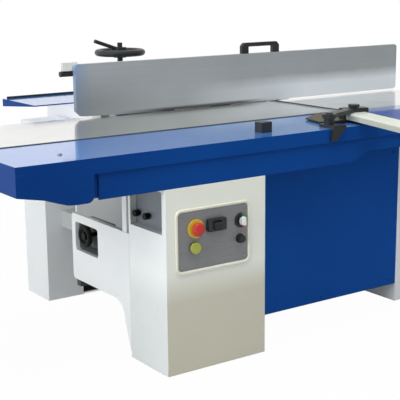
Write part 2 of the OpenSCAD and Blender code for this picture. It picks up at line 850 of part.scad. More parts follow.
// Steel cutterblock on its shaft, with a slot for each knife
module cutterblock() {
  color("silver") framed() difference() {
    union() {
      rod_y(cutter_x, cutter_z, throat_y0, throat_y1, cutter_r);
      rod_y(cutter_x, cutter_z, plate_front - 10, pulley_y + pulley_l, shaft_r);
    }
    for (i = [0 : knife_n - 1])
      knife_bar(i, 0, knife_t + gib_t, knife_r0, cut_r + over, throat_y0 - over, throat_y1 + over);
  }
}

// Knives with the gib bars that wedge them
module knives() {
  color("lightsteelblue") framed() for (i = [0 : knife_n - 1]) {
    knife_bar(i, 0, knife_t, knife_r0, cut_r, throat_y0, throat_y1);
    knife_bar(i, knife_t, gib_t, knife_r0, cutter_r - 4, throat_y0, throat_y1);
  }
}

// Flat-belt pulley on the cutter shaft
module cutter_pulley() {
  color("dimgray") framed() difference() {
    rod_y(cutter_x, cutter_z, pulley_y, pulley_y + pulley_l, cutter_pulley_r);
    rod_y(cutter_x, cutter_z, pulley_y - over, pulley_y + pulley_l + over, shaft_r);
  }
}

// Flat belt from the motor to the cutter
module drive_belt() {
  drop = cutter_z - motor_z;
  color("#333") framed() slab_xz(pulley_y + 4, pulley_y + pulley_l - 4)
    translate([cutter_x, cutter_z]) difference() {
      two_wheels(cutter_pulley_r + free_gap + belt_t, motor_pulley_r + free_gap + belt_t, drop);
      two_wheels(cutter_pulley_r + free_gap, motor_pulley_r + free_gap, drop);
    }
}

// Main motor on its bracket behind the rear plate
module motor() {
  half = motor_r;
  color("steelblue") framed() {
    difference() {
      union() {
        rod_y(cutter_x, motor_z, motor_y, motor_y + motor_l, motor_r);
        rod_y(cutter_x, motor_z, motor_y + motor_l, motor_y + motor_l + 40, motor_r - 6);
        box(cutter_x - 70, cutter_x + 70, motor_y + 40, motor_y + motor_l - 40, mount_z + mount_t, motor_z);
        box(cutter_x - half - 40, cutter_x - 60, motor_y + 80, motor_y + 180, motor_z - 45, motor_z + 45);
      }
      rod_y(cutter_x, motor_z, motor_y - over, motor_y + 60, motor_shaft_r + run_fit);
    }
    box(cutter_x - half, cutter_x + half, plate_rear, motor_y + motor_l, mount_z, mount_z + mount_t);
    for (x = [cutter_x - half, cutter_x + half - mount_t])
      slab_yz(x, x + mount_t) polygon([[plate_rear, mount_z + mount_t], [motor_y - 4, mount_z + mount_t],
        [plate_rear, mount_z + mount_t + 60]]);
  }
}

// Motor shaft with its pulley
module motor_pulley() {
  color("dimgray") framed() {
    rod_y(cutter_x, motor_z, pulley_y, pulley_y + pulley_l, motor_pulley_r);
    rod_y(cutter_x, motor_z, pulley_y + pulley_l - over, motor_y + 55, motor_shaft_r);
  }
}

// Sheet guard round the belt
module belt_guard() {
  wide = motor_pulley_r + belt_t + 14;
  top = table_top - 4;
  low = motor_z - wide;
  color("white") framed() difference() {
    box(cutter_x - wide, cutter_x + wide, plate_rear, motor_y - 1, low, top);
    box(cutter_x - wide + sheet, cutter_x + wide - sheet, plate_rear - over, motor_y - 1 - sheet, low + sheet,
      top - sheet);
    box(cutter_x - wide - over, cutter_x + wide + over, plate_rear - over, table_back + 10,
      plate_low_top - 6, top + over);
    rod_y(cutter_x, motor_z, motor_y - 10, motor_y + over, motor_shaft_r + 8);
    box(cutter_x - wide - over, cutter_x + wide + over, plate_rear - over, motor_y + over, low - over,
      mount_z + mount_t + 62);
  }
}

// A feed roller on its journals, with the chain sprocket on its front end
module feed_roller(x) {
  rod_y(x, roller_z, throat_y0, throat_y1, roller_r);
  rod_y(x, roller_z, feed_sprocket_y - 4, plate_rear + 4, journal_r);
  rod_y(x, roller_z, feed_sprocket_y, feed_sprocket_y + feed_sprocket_t, feed_sprocket_r);
}
// Fluted infeed roller of the thicknesser
module infeed_roller() {
  x = cutter_x - roller_gap;
  flutes = 18;
  color("gray") framed() difference() {
    feed_roller(x);
    for (i = [0 : flutes - 1]) translate([x, 0, roller_z]) rotate([0, i * 360 / flutes, 0])
      translate([-2.5, throat_y0 - over, roller_r - 3]) cube([5, throat_y1 - throat_y0 + 2 * over, 8]);
  }
}
// Smooth outfeed roller of the thicknesser
module outfeed_roller() {
  color("gray") framed() feed_roller(cutter_x + roller_gap);
}

// Chain round the two roller sprockets and the gearmotor's sprocket
module feed_chain() {
  inner = feed_sprocket_r + free_gap;
  color("dimgray") framed() slab_xz(feed_sprocket_y + 2, feed_sprocket_y + feed_sprocket_t - 2) difference() {
    stretched(chain_points, inner + chain_t);
    stretched(chain_points, inner);
  }
}

// Feed gearmotor on two arms from the front plate, with its output sprocket's bearing
module feed_gearmotor() {
  flange = feed_sprocket_y - 14;
  color("steelblue") framed() difference() {
    union() {
      rod_y(gear_x, gear_z, flange - 110, flange, 58);
      box(gear_x - 80, gear_x + 80, flange - 14, flange, gear_z - 62, gear_z + 50);
      for (x = [gear_x - 80, gear_x + 62])
        box(x, x + 18, flange - over, plate_front, gear_z - 62, gear_z - 38);
    }
    rod_y(gear_x, gear_z, flange - 40, flange + over, gear_shaft_r + run_fit);
  }
}

// Output sprocket of the gearmotor
module gear_sprocket() {
  color("dimgray") framed() {
    rod_y(gear_x, gear_z, feed_sprocket_y, feed_sprocket_y + feed_sprocket_t, feed_sprocket_r);
    rod_y(gear_x, gear_z, feed_sprocket_y - 50, feed_sprocket_y + over, gear_shaft_r);
  }
}

// Chip breaker and pressure bar beside the cutterblock
module pressure_bars() {
  color("gray") framed() for (x = [cutter_x - 71, cutter_x + 53])
    box(x, x + 18, plate_in_front, plate_in_rear, cutter_z - cut_r + 4, cutter_z - cut_r + 24);
}

// Hanging fingers on their cross rod
module kickback_fingers() {
  pitch = (throat_y1 - throat_y0 - 20) / finger_n;
  color("darkgray") framed() {
    for (i = [0 : finger_n - 1]) slab_xz(throat_y0 + 10 + i * pitch, throat_y0 + 10 + i * pitch + pitch * 0.6)
      translate([finger_rod_x, roller_z]) {
        circle(14);
        polygon([[-13, 0], [-6, -finger_drop], [6, -finger_drop + 8], [13, 0]]);
      }
    rod_y(finger_rod_x, roller_z, plate_front - 4, plate_rear - 2, finger_rod_r);
  }
}

// Ground thicknesser bed with its column and lift nut
module thicknesser_bed() {
  low = bed_under - column_l;
  color("lightgray") framed() difference() {
    union() {
      box(cutter_x - bed_l / 2, cutter_x + bed_l / 2, throat_y0, throat_y1, bed_under, bed_top);
      rod_z(cutter_x, bed_y, low, bed_under + over, bed_column_r);
    }
    box(cutter_x - bed_l / 2 + 30, cutter_x - bed_column_r - 10, throat_y0 + 30, throat_y1 - 30,
      bed_under - over, bed_under + 20);
    box(cutter_x + bed_column_r + 10, cutter_x + bed_l / 2 - 30, throat_y0 + 30, throat_y1 - 30,
      bed_under - over, bed_under + 20);
    rod_z(cutter_x, bed_y, low + nut_t, bed_under + 20, bed_column_r - 22);
    rod_z(cutter_x, bed_y, low - over, low + nut_t + over, screw_r + run_fit);
  }
}

// Cross support under the bed with the column's sleeve
module bed_support() {
  x0 = cutter_x - support_w / 2;
  x1 = cutter_x + support_w / 2;
  top = support_z + support_h;
  color("slategray") framed() difference() {
    union() {
      box(x0, x1, rail_y, rear_rail_y, support_z, top);
      box(x0, x1, rail_y, plate_front, top, rail_z);
      rod_z(cutter_x, bed_y, top, housing_top, bed_column_r + housing_t);
    }
    rod_z(cutter_x, bed_y, top, housing_top + over, bed_column_r + run_fit);
    rod_z(cutter_x, bed_y, support_z - over, top + over, screw_journal_r + run_fit);
  }
}

// Lead screw with its sprocket under the support
module lead_screw() {
  top = support_z + support_h;
  color("silver") framed() {
    rod_z(cutter_x, bed_y, top + free_gap, screw_top, screw_r);
    rod_z(cutter_x, bed_y, lift_sprocket_z, top + 1, screw_journal_r);
    rod_z(cutter_x, bed_y, lift_sprocket_z, lift_sprocket_z + lift_sprocket_t, lift_sprocket_r);
  }
}

// Black handwheel with its slanting grip, long shaft and lower sprocket
module handwheel() {
  color("black") framed() translate([wheel_x, wheel_y, 0]) {
    translate([0, 0, wheel_z]) rotate_extrude() translate([wheel_r - rim_r, 0]) circle(rim_r);
    translate([0, 0, wheel_z - 22]) cylinder(h = 44, r = 2 * rim_r);
    translate([0, 0, wheel_z + 22]) cylinder(h = 20, r = 11);
    for (a = [60, 180, 300]) rotate(a) translate([0, -9, wheel_z - 6]) cube([wheel_r - rim_r, 18, 12]);
    translate([-16, 0, wheel_z + 16]) rotate([0, -71, 0]) cylinder(h = 114, r = 8);
    translate([0, 0, lift_sprocket_z]) cylinder(h = wheel_z - lift_sprocket_z, r = wheel_shaft_r);
    translate([0, 0, lift_sprocket_z]) cylinder(h = lift_sprocket_t, r = lift_sprocket_r);
    translate([0, 0, shelf_top + boss_rise + free_gap]) cylinder(h = 14, r = 20);
  }
}

// Chain from the handwheel shaft to the lead screw
module lift_chain() {
  ends = [[cutter_x, bed_y], [wheel_x, wheel_y]];
  inner = lift_sprocket_r + free_gap;
  color("dimgray") framed() slab_xy(lift_sprocket_z + 2, lift_sprocket_z + lift_sprocket_t - 2) difference() {
    stretched(ends, inner + chain_t);
    stretched(ends, inner);
  }
}

// Long fence with eased corners and a raised lower left end, and the hinge knuckles on its back
module fence_plate() {
  right = fence_x + fence_l;
  top = fence_z + fence_h;
  cut = 22;
  rise = 7;
  ease = 10;
  color("silver") framed() difference() {
    union() {
      slab_xz(fence_y, fence_back) polygon([[fence_x + cut, fence_z + rise], [fence_x + 210, fence_z],
        [right - ease, fence_z], [right, fence_z + ease], [right, top - ease], [right - ease, top],
        [fence_x + ease, top], [fence_x, top - ease], [fence_x, fence_z + rise + cut]]);
      for (side = [-1, 1]) knuckle_side(side) {
        rod_x(tilt_y, tilt_z, 0, knuckle_w, tilt_r);
        box(0, knuckle_w, fence_back, tilt_y, tilt_z - 4, tilt_z + tilt_r);
        slab_yz(0, knuckle_w)
          polygon([[fence_back, tilt_z], [tilt_y - 4, tilt_z], [fence_back, tilt_z + 120]]);
      }
    }
    rod_x(tilt_y, tilt_z, fence_bar_x - 2 * knuckle_w, fence_bar_x + 2 * knuckle_w, tilt_pin_r + run_fit);
    rod_y(lever_x, lever_z, fence_back - 12, fence_back + over, lock_screw_r + run_fit);
  }
}
// Place of the fence's left or right hinge knuckle
module knuckle_side(side) {
  half = knuckle_w / 2 + free_gap;
  translate([fence_bar_x + (side > 0 ? half : -half - knuckle_w), 0, 0]) children();
}

// Black bridge handle on the fence's top edge
module fence_handle() {
  base = fence_z + fence_h;
  x0 = handle_x - handle_w / 2;
  x1 = handle_x + handle_w / 2;
  ease = 14;
  post = 36;
  grip = 17;
  color("black") framed() slab_xz(fence_y + 1, fence_back - 1) difference() {
    polygon([[x0, base], [x1, base], [x1, base + handle_h - ease], [x1 - ease, base + handle_h],
      [x0 + ease, base + handle_h], [x0, base + handle_h - ease]]);
    polygon([[x0 + post, base - over], [x1 - post, base - over], [x1 - post, base + handle_h - grip],
      [x0 + post, base + handle_h - grip]]);
  }
}

// Square bar that carries the fence, with the middle hinge knuckle and its pin
module fence_bar() {
  x0 = fence_bar_x - fence_bar_w / 2;
  pin = 1.5 * knuckle_w;
  color("gray") framed() {
    box(x0, x0 + fence_bar_w, bar_y, bar_end, bar_z, bar_z + fence_bar_w);
    box(x0, x0 + fence_bar_w, tilt_y, bar_y + over, tilt_z - 3, tilt_z + 8);
    rod_x(tilt_y, tilt_z, fence_bar_x - knuckle_w / 2, fence_bar_x + knuckle_w / 2, tilt_r);
    rod_x(tilt_y, tilt_z, fence_bar_x - pin, fence_bar_x + pin, tilt_pin_r);
  }
}

// Cast guide behind the rear plate, in which the fence bar slides
module fence_guide() {
  half = fence_bar_w / 2 + run_fit;
  x0 = fence_bar_x - half - guide_wall;
  x1 = fence_bar_x + half + guide_wall;
  top = bar_z + fence_bar_w + run_fit + guide_wall;
  color("dimgray") framed() difference() {
    union() {
      box(x0, x1, guide_y0, guide_y0 + guide_l, outfeed_under - 140, top);
      box(x0, x1, plate_rear, guide_y0 + over, outfeed_under - 140, outfeed_under - 20);
    }
    box(fence_bar_x - half, fence_bar_x + half, guide_y0 - over, guide_y0 + guide_l + over, bar_z - run_fit,
      bar_z + fence_bar_w + run_fit);
    rod_z(fence_bar_x, guide_y0 + guide_l / 2, top - guide_wall + 4, top + over, lock_screw_r + run_fit);
  }
}

// Clamp lever that locks the fence bar in its guide
module fence_lock_lever() {
  top = bar_z + fence_bar_w + run_fit + guide_wall;
  y = guide_y0 + guide_l / 2;
  reach = 84;
  color("black") framed() {
    rod_z(fence_bar_x, y, top - guide_wall + 5, top + 10, lock_screw_r);
    rod_z(fence_bar_x, y, top + free_gap, top + 16, 13);
    rod_x(y, top + 9, fence_bar_x, fence_bar_x + reach, 6);
    translate([fence_bar_x + reach, y, top + 9]) sphere(8.5);
  }
}

// Tilt lock behind the fence's left end: grey arm and black grip on a stud
module tilt_lever() {
  face = fence_back + free_gap;
  color("gray") framed() {
    rod_y(lever_x, lever_z, fence_back - 11, face + 14, lock_screw_r);
    rod_y(lever_x, lever_z, face, face + 14, 16);
    box(lever_x - 66, lever_x, face, face + 14, lever_z - 6, lever_z + 30);
    rod_x(face + 11, lever_z - 15, lever_x - 74, lever_x - 4, 11);
  }
}

// Black bracket hooked over the front lip, with the guard's post, and the stop block left of it
module guard_bracket() {
  stop_x = 466;
  color("#222") framed() {
    box(stop_x, stop_x + 48, 80, 120, front_top, front_top + 38);
    slab_xz(-12, 0) polygon([[post_at[0] - 32, front_top - 44], [post_at[0] - 6, front_top - 44],
      [post_at[0] + 40, front_top], [post_at[0] + 40, front_top + 12], [post_at[0] - 22, front_top + 12]]);
    box(post_at[0] - 22, post_at[0] + 26, -over, post_at[1] + 30, front_top, front_top + 12);
    rod_z(post_at[0], post_at[1], front_top + 12, guard_top, post_r + 6);
    rod_z(post_at[0], post_at[1], guard_top - over, guard_top + clamp_t + 4, post_r);
  }
}

// Place and turn of the guard clamp, with Y along the bar
module at_clamp(z) {
  translate([clamp_at[0], clamp_at[1], z]) rotate(-guard_turn) children();
}

// Black swinging arm from the post to the clamp over the bar
module guard_arm() {
  reach = clamp_at - post_at;
  hub_r = post_r + 12;
  arm_w = 34;
  side = guard_w / 2 + run_fit;
  cheek = 8;
  low = guard_top + run_fit;
  color("#222") framed() {
    slab_xy(low, low + clamp_t) difference() {
      union() {
        translate(post_at) circle(hub_r);
        translate(post_at) rotate(atan2(reach[1], reach[0])) translate([0, -arm_w / 2])
          square([norm(reach), arm_w]);
        translate(clamp_at) rotate(-guard_turn) square([2 * side + 2 * cheek, clamp_l], center = true);
      }
      translate(post_at) circle(post_r + run_fit);
      translate(clamp_at) circle(knob_stem_r + run_fit);
    }
    for (edge = [-side - cheek, side]) at_clamp(board_top) translate([edge, -clamp_l / 2, 0])
      cube([cheek, clamp_l, low - board_top]);
  }
}

// Cream guard bar with a rounded upper face
module guard_bar() {
  crown = 8;
  color("ivory") framed() at_clamp(guard_z) translate([0, guard_rear - guard_l, 0]) rotate([90, 0, 180])
    linear_extrude(guard_l) {
      translate([0, (guard_t - crown) / 2]) square([guard_w, guard_t - crown], center = true);
      translate([0, guard_t - crown]) square([guard_w - 2 * crown, 2 * crown], center = true);
      for (side = [-1, 1]) translate([side * (guard_w / 2 - crown), guard_t - crown]) circle(crown);
    }
}

// Star knob that clamps the bar in the arm
module guard_knob() {
  low = guard_top + run_fit + clamp_t;
  knob_r = 22;
  color("black") framed() translate([clamp_at[0], clamp_at[1], 0]) {
    translate([0, 0, low - clamp_t + 2]) cylinder(h = clamp_t, r = knob_stem_r);
    translate([0, 0, low + free_gap]) cylinder(h = 4, r = 12);
    translate([0, 0, low + 3]) difference() {
      cylinder(h = 10, r = knob_r);
      for (a = [0 : 60 : 300]) rotate(a) translate([knob_r + 3, 0, -over]) cylinder(h = 12, r = 7);
    }
  }
}

// Brown laminate board with a cut corner, which the arm holds over the cutterblock's front end
module guard_board() {
  right = 110;
  left = right - board_w;
  front = -clamp_l / 2 - 13;
  rear = front + board_l;
  cut = board_l / 2;
  color("#5a5041") framed() at_clamp(board_top - board_t) linear_extrude(board_t)
    polygon([[left, front], [right, front], [right, rear], [left + cut, rear], [left, rear - cut]]);
}

control_cabinet();
panel_bezel();
panel_plate();
estop_collar();
estop_button();
start_button();
switch_housings();
rocker_switch();
selector_knob();
dial_knob();
recess_plate();
feed_knob();
lock_knob();
left_side_wall();
window_pocket();
window_wheel();
table_post();
front_cover();
right_column();
rear_legs();
base_rails();
front_plate();
rear_plate();
front_table();
lower_panel();
outfeed_table();
infeed_table();
depth_screw();
rear_shelf();
bearing_housings();
cutterblock();
knives();
cutter_pulley();
drive_belt();
motor();
motor_pulley();
belt_guard();
infeed_roller();
outfeed_roller();
feed_chain();
feed_gearmotor();
gear_sprocket();
pressure_bars();
kickback_fingers();
thicknesser_bed();
bed_support();
lead_screw();
handwheel();
lift_chain();
fence_plate();
fence_handle();
fence_bar();
fence_guide();
fence_lock_lever();
tilt_lever();
guard_bracket();
guard_arm();
guard_bar();
guard_knob();
guard_board();
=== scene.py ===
import json
import math
import bmesh
import bpy
from mathutils import Matrix, Vector


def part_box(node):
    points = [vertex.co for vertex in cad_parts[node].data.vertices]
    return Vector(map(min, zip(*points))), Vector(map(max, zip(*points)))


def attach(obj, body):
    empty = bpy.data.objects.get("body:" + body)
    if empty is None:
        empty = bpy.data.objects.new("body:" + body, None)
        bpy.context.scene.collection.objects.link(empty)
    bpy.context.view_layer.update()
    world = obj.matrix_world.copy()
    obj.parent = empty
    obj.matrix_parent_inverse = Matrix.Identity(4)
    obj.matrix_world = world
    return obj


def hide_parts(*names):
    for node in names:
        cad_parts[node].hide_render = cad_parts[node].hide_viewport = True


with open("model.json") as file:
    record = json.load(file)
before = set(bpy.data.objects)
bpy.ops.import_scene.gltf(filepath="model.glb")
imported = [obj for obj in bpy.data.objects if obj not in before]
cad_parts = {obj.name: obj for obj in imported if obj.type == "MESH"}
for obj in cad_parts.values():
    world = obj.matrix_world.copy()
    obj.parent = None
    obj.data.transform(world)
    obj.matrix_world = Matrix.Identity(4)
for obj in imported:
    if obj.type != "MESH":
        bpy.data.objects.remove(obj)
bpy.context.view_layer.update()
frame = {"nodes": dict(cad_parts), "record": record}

# The camera stands at the operator's left, a little above the tables, with a long lens.
# Its place and turn were solved from the straight edges of the machine in the photograph.
eye = Vector((-2.4875, -3.337, 1.360))
turn, tip, roll = math.radians(-34.82), math.radians(12.33), math.radians(-0.56)
back = Vector((math.sin(turn) * math.cos(tip), -math.cos(turn) * math.cos(tip), math.sin(tip)))
level = Vector((math.cos(turn), math.sin(turn), 0.0))
upright = back.cross(level)
right = level * math.cos(roll) + upright * math.sin(roll)
up = upright * math.cos(roll) - level * math.sin(roll)
picture_px, focal_px = 400.0, 1025.6
lens = bpy.data.cameras.new("photo_camera")
lens.sensor_width = 36.0
lens.lens = focal_px * lens.sensor_width / picture_px
lens.clip_end = 60.0
camera = bpy.data.objects.new("photo_camera", lens)
camera.matrix_world = Matrix((
    (right.x, up.x, back.x, eye.x),
    (right.y, up.y, back.y, eye.y),
    (right.z, up.z, back.z, eye.z),
    (0.0, 0.0, 0.0, 1.0)))
bpy.context.collection.objects.link(camera)
scene = bpy.context.scene
scene.camera = camera
scene.view_settings.view_transform = "Standard"


# Studio floor: a wide pale sheet, white to the eye and in reflections, with a painted shadow under the rear
# frame.
# Graph wraps one node tree and Wire one of its sockets, so that shader sums read as plain Python.
# Finish is the graph of one material.
class Wire:
    def __init__(self, graph, socket):
        self.graph = graph
        self.socket = socket

    def sum(self, operation, first, second, clamp=False):
        return self.graph.node("ShaderNodeMath", settings={"operation": operation, "use_clamp": clamp},
                               i0=first, i1=second)

    def __add__(self, other):
        return self.sum("ADD", self, other)

    def __radd__(self, other):
        return self.sum("ADD", other, self)

    def __sub__(self, other):
        return self.sum("SUBTRACT", self, other)

    def __rsub__(self, other):
        return self.sum("SUBTRACT", other, self)

    def __mul__(self, other):
        return self.sum("MULTIPLY", self, other)

    def __rmul__(self, other):
        return self.sum("MULTIPLY", other, self)

    def __truediv__(self, other):
        return self.sum("DIVIDE", self, other)

    def __pow__(self, other):
        return self.sum("POWER", self, other)

    def over(self, limit):
        return self.sum("GREATER_THAN", self, limit)

    def under(self, limit):
        return self.sum("LESS_THAN", self, limit)

    def clipped(self):
        return self.sum("ADD", self, 0.0, clamp=True)

    def span(self, low, high):
        return self.graph.node("ShaderNodeMapRange", settings={"clamp": True}, From_Min=low, From_Max=high,
                               Value=self)


class Graph:
    def __init__(self, tree):
        self.tree = tree
        tree.nodes.clear()

    def node(self, kind, out=0, settings=None, **inputs):
        made = self.tree.nodes.new(kind)
        for key, value in (settings or {}).items():
            setattr(made, key, value)
        for key, value in inputs.items():
            place = int(key[1:]) if key[0] == "i" and key[1:].isdigit() else key.replace("_", " ")
            self.join(value, made.inputs[place])
        return Wire(self, made.outputs[out])

    def join(self, value, socket):
        if isinstance(value, list):
            for wire in value:
                self.tree.links.new(wire.socket, socket)
        elif isinstance(value, Wire):
            self.tree.links.new(value.socket, socket)
        else:
            socket.default_value = value

    def axes(self, vector):
        split = self.node("ShaderNodeSeparateXYZ", i0=vector).socket.node
        return [Wire(self, socket) for socket in split.outputs]

    def rays(self):
        ray = self.node("ShaderNodeLightPath").socket.node
        kinds = ("Is Camera Ray", "Is Glossy Ray", "Is Transmission Ray")
        return [Wire(self, ray.outputs[kind]) for kind in kinds]


class Finish(Graph):
    def __init__(self, name):
        self.material = bpy.data.materials.new(name)
        self.material.use_nodes = True
        super().__init__(self.material.node_tree)
        self.end = self.tree.nodes.new("ShaderNodeOutputMaterial")

    def place(self, stretched=(1.0, 1.0, 1.0)):
        spot = self.node("ShaderNodeTexCoord", out="Object")
        return self.node("ShaderNodeMapping", Vector=spot, Scale=stretched)

    def noise(self, scale, detail=3.0, rough=0.55, where=None):
        return self.node("ShaderNodeTexNoise", out="Fac", Vector=where or self.place(), Scale=scale,
                         Detail=detail, Roughness=rough)

    def blend(self, share, first, second):
        return self.node("ShaderNodeMix", out=2, settings={"data_type": "RGBA"},
                         i0=share, i6=first, i7=second)

    def facing(self):
        return self.axes(self.node("ShaderNodeNewGeometry", out="Normal"))

    def rounded(self, radius):
        return self.node("ShaderNodeBevel", settings={"samples": 4}, Radius=radius)

    def edges(self, radius):
        flat = self.node("ShaderNodeNewGeometry", out="Normal")
        soft = self.rounded(radius)
        same = self.node("ShaderNodeVectorMath", out="Value", settings={"operation": "DOT_PRODUCT"},
                         i0=flat, i1=soft)
        return ((1.0 - same) * 5.0).clipped()

    def bumped(self, height, strength, distance, radius=None):
        under = {"Normal": self.rounded(radius)} if radius else {}
        return self.node("ShaderNodeBump", Height=height, Strength=strength, Distance=distance, **under)

    def close(self, **sockets):
        shader = self.node("ShaderNodeBsdfPrincipled", **sockets)
        self.tree.links.new(shader.socket, self.end.inputs["Surface"])
        return self.material


def tone(red, green, blue):
    parts = [value / 255.0 for value in (red, green, blue)]
    return tuple([p / 12.92 if p <= 0.04045 else ((p + 0.055) / 1.055) ** 2.4 for p in parts] + [1.0])


studio = Finish("studio_floor")
sheet_grain = studio.noise(3.0)
sheet_x, sheet_y = studio.axes(studio.place())[:2]
# Painted shadow: the floor is painted dark under the rear frame and does not glow there.
sheet_painted_shadow = (sheet_x.span(-0.50, -0.44) * (1.0 - sheet_x.span(0.60, 0.70))
               * sheet_y.span(0.49, 0.53) * (1.0 - sheet_y.span(0.72, 0.80)))
sheet_far = ((sheet_x * sheet_x + sheet_y * sheet_y) ** 0.5).span(1.2, 4.0)
eye_ray, mirror_ray, glass_ray = studio.rays()
sheet_share = (eye_ray + glass_ray) * (0.98 + 0.02 * sheet_far) + mirror_ray * sheet_y.span(-0.9, 0.3) * 0.9
sheet_share = sheet_share * (1.0 - sheet_painted_shadow)
sheet_tint = studio.blend(sheet_grain, tone(186, 187, 189), tone(194, 194, 195))
sheet_tint = studio.blend(sheet_painted_shadow, sheet_tint, tone(52, 53, 54))
sheet_pale = studio.node("ShaderNodeBsdfDiffuse", Color=sheet_tint)
sheet_glow = studio.node("ShaderNodeEmission", Color=(1.0, 1.0, 1.0, 1.0), Strength=1.0)
studio_mix = studio.node("ShaderNodeMixShader", i0=sheet_share.clipped(), i1=sheet_pale, i2=sheet_glow)
studio.tree.links.new(studio_mix.socket, studio.end.inputs["Surface"])
floor_reach = 30.0
floor_corners = [(x * floor_reach, y * floor_reach, 0.0) for x, y in ((-1, -1), (1, -1), (1, 1), (-1, 1))]
floor_mesh = bpy.data.meshes.new("studio_floor")
floor_mesh.from_pydata(floor_corners, [], [(0, 1, 2, 3)])
floor_mesh.materials.append(studio.material)
floor = bpy.data.objects.new("studio_floor", floor_mesh)
bpy.context.collection.objects.link(floor)


# Studio light: a pale room, a large soft lamp at the operator's left, one over the tables, a weak one
# in front and a small one behind the side wall.
# The room reads white to the eye; in reflections it is white behind the machine and dim in front of it.
world = bpy.data.worlds.new("studio_room")
world.use_nodes = True
scene.world = world
room = Graph(world.node_tree)
room_look = room.axes(room.node("ShaderNodeTexCoord", out="Generated"))
eye_ray, mirror_ray, glass_ray = room.rays()
room_share = (eye_ray + glass_ray) + mirror_ray * (room_look[1] * 0.8 - room_look[0] * 0.5).span(-0.45, 0.15)
room_dim = room.node("ShaderNodeBackground", Color=(0.93, 0.96, 1.0, 1.0), Strength=0.40)
room_white = room.node("ShaderNodeBackground", Color=(1.0, 1.0, 1.0, 1.0), Strength=1.0)
room_mix = room.node("ShaderNodeMixShader", i0=room_share.clipped(), i1=room_dim, i2=room_white)
room_end = room.tree.nodes.new("ShaderNodeOutputWorld")
room.tree.links.new(room_mix.socket, room_end.inputs["Surface"])


def soft_lamp(name, place, aim, width, power):
    data = bpy.data.lights.new(name, "AREA")
    data.shape = "SQUARE"
    data.size = width
    data.energy = power
    lamp = bpy.data.objects.new(name, data)
    lamp.location = place
    lamp.rotation_euler = (Vector(aim) - Vector(place)).to_track_quat("-Z", "Y").to_euler()
    lamp.visible_glossy = False
    lamp.visible_camera = False
    bpy.context.collection.objects.link(lamp)


soft_lamp("left_lamp", (-5.0, -1.0, 1.8), (0.0, 0.0, 0.5), 3.0, 150.0)
soft_lamp("top_lamp", (-0.6, -1.1, 4.6), (0.0, 0.2, 0.5), 3.4, 175.0)
soft_lamp("front_lamp", (1.9, -4.6, 1.2), (0.2, 0.0, 0.5), 3.0, 26.0)
soft_lamp("inner_lamp", (-0.47, 0.0, 0.60), (-0.45, 0.297, 0.40), 0.16, 0.27)


# White casings: control cabinet, side wall, table post, right column, rear legs, belt guard and frame plates.
# Folded sheet steel with a white powder coat; the coat is a little orange-peeled and rubbed at its edges.
# The window's pocket is painted grey as the shade inside it, and the knobs' recess is grey.
# The cabinet's front is painted a warmer beige than its sides as shade, and its faces are painted darker
# towards its foot.
def dress(material, *nodes):
    for name in nodes:
        kept = frame["nodes"][name]
        kept.data.materials.clear()
        kept.data.materials.append(material)


def powder_coat(name, colour, rubbed, shade, rough=0.34, fold=0.004):
    coat_finish = Finish(name)
    peel = coat_finish.noise(900.0, 2.0)
    drift = coat_finish.noise(2.2, 4.0)
    smear = coat_finish.noise(14.0, 6.0, 0.7)
    edge = coat_finish.edges(fold)
    worn = (edge * coat_finish.noise(60.0, 4.0, 0.7).span(0.42, 0.75)).clipped()
    body = coat_finish.blend(drift.span(0.3, 0.8), colour, shade)
    body = coat_finish.blend(smear.span(0.58, 0.9) * 0.25, body, shade)
    body = coat_finish.blend(worn * 0.7, body, rubbed)
    return coat_finish.close(
        Base_Color=body, Roughness=rough + 0.14 * smear.span(0.35, 0.8) - 0.05 * drift,
        Normal=coat_finish.bumped(peel, 0.12, 0.0004, fold))


white_coat = powder_coat("white_powder_coat", tone(233, 236, 236), tone(248, 248, 246), tone(221, 225, 225))
dress(white_coat, "left_side_wall", "table_post", "right_column", "rear_legs", "belt_guard", "front_plate",
      "rear_plate")
# The window's pocket is painted grey as the shade inside it.
pocket_shade_coat = powder_coat("grey_pocket_coat", tone(122, 128, 127), tone(168, 171, 170), tone(108, 113, 113),
                          0.5)
recess_coat = powder_coat("grey_recess_coat", tone(124, 130, 136), tone(170, 173, 176), tone(112, 117, 122),
                          0.46)
dress(pocket_shade_coat, "window_pocket")
dress(recess_coat, "recess_plate")

cabinet_finish = Finish("cabinet_two_tone_coat")
cabinet_peel = cabinet_finish.noise(900.0, 2.0)
cabinet_drift = cabinet_finish.noise(2.6, 4.0)
cabinet_grime = cabinet_finish.noise(18.0, 6.0, 0.7)
# Painted shade: the front faces are a warmer, darker beige than the sides, and every face darkens towards the
# foot, where grime spots gather too.
cabinet_foot_shade = 1.0 - cabinet_finish.axes(cabinet_finish.place())[2].span(0.26, 0.36)
cabinet_edge = cabinet_finish.edges(0.004)
cabinet_front_shade = (0.0 - cabinet_finish.facing()[1]).span(0.6, 0.9)
cabinet_front_shade_tone = cabinet_finish.blend(cabinet_foot_shade, tone(230, 233, 221), tone(196, 193, 173))
cabinet_sides = cabinet_finish.blend(cabinet_foot_shade, tone(233, 237, 237), tone(214, 219, 218))
cabinet_body = cabinet_finish.blend(cabinet_front_shade, cabinet_sides, cabinet_front_shade_tone)
cabinet_body = cabinet_finish.blend(cabinet_drift.span(0.3, 0.8) * 0.2, cabinet_body, tone(216, 217, 210))
cabinet_body = cabinet_finish.blend(cabinet_grime.span(0.55, 0.9) * cabinet_foot_shade * 0.35, cabinet_body,
                                    tone(196, 190, 176))
cabinet_body = cabinet_finish.blend(cabinet_edge * 0.3, cabinet_body, tone(250, 250, 246))
cabinet_coat = cabinet_finish.close(
    Base_Color=cabinet_body, Roughness=0.34 + 0.14 * cabinet_grime.span(0.35, 0.8),
    Normal=cabinet_finish.bumped(cabinet_peel, 0.12, 0.0004, 0.004))
dress(cabinet_coat, "control_cabinet")


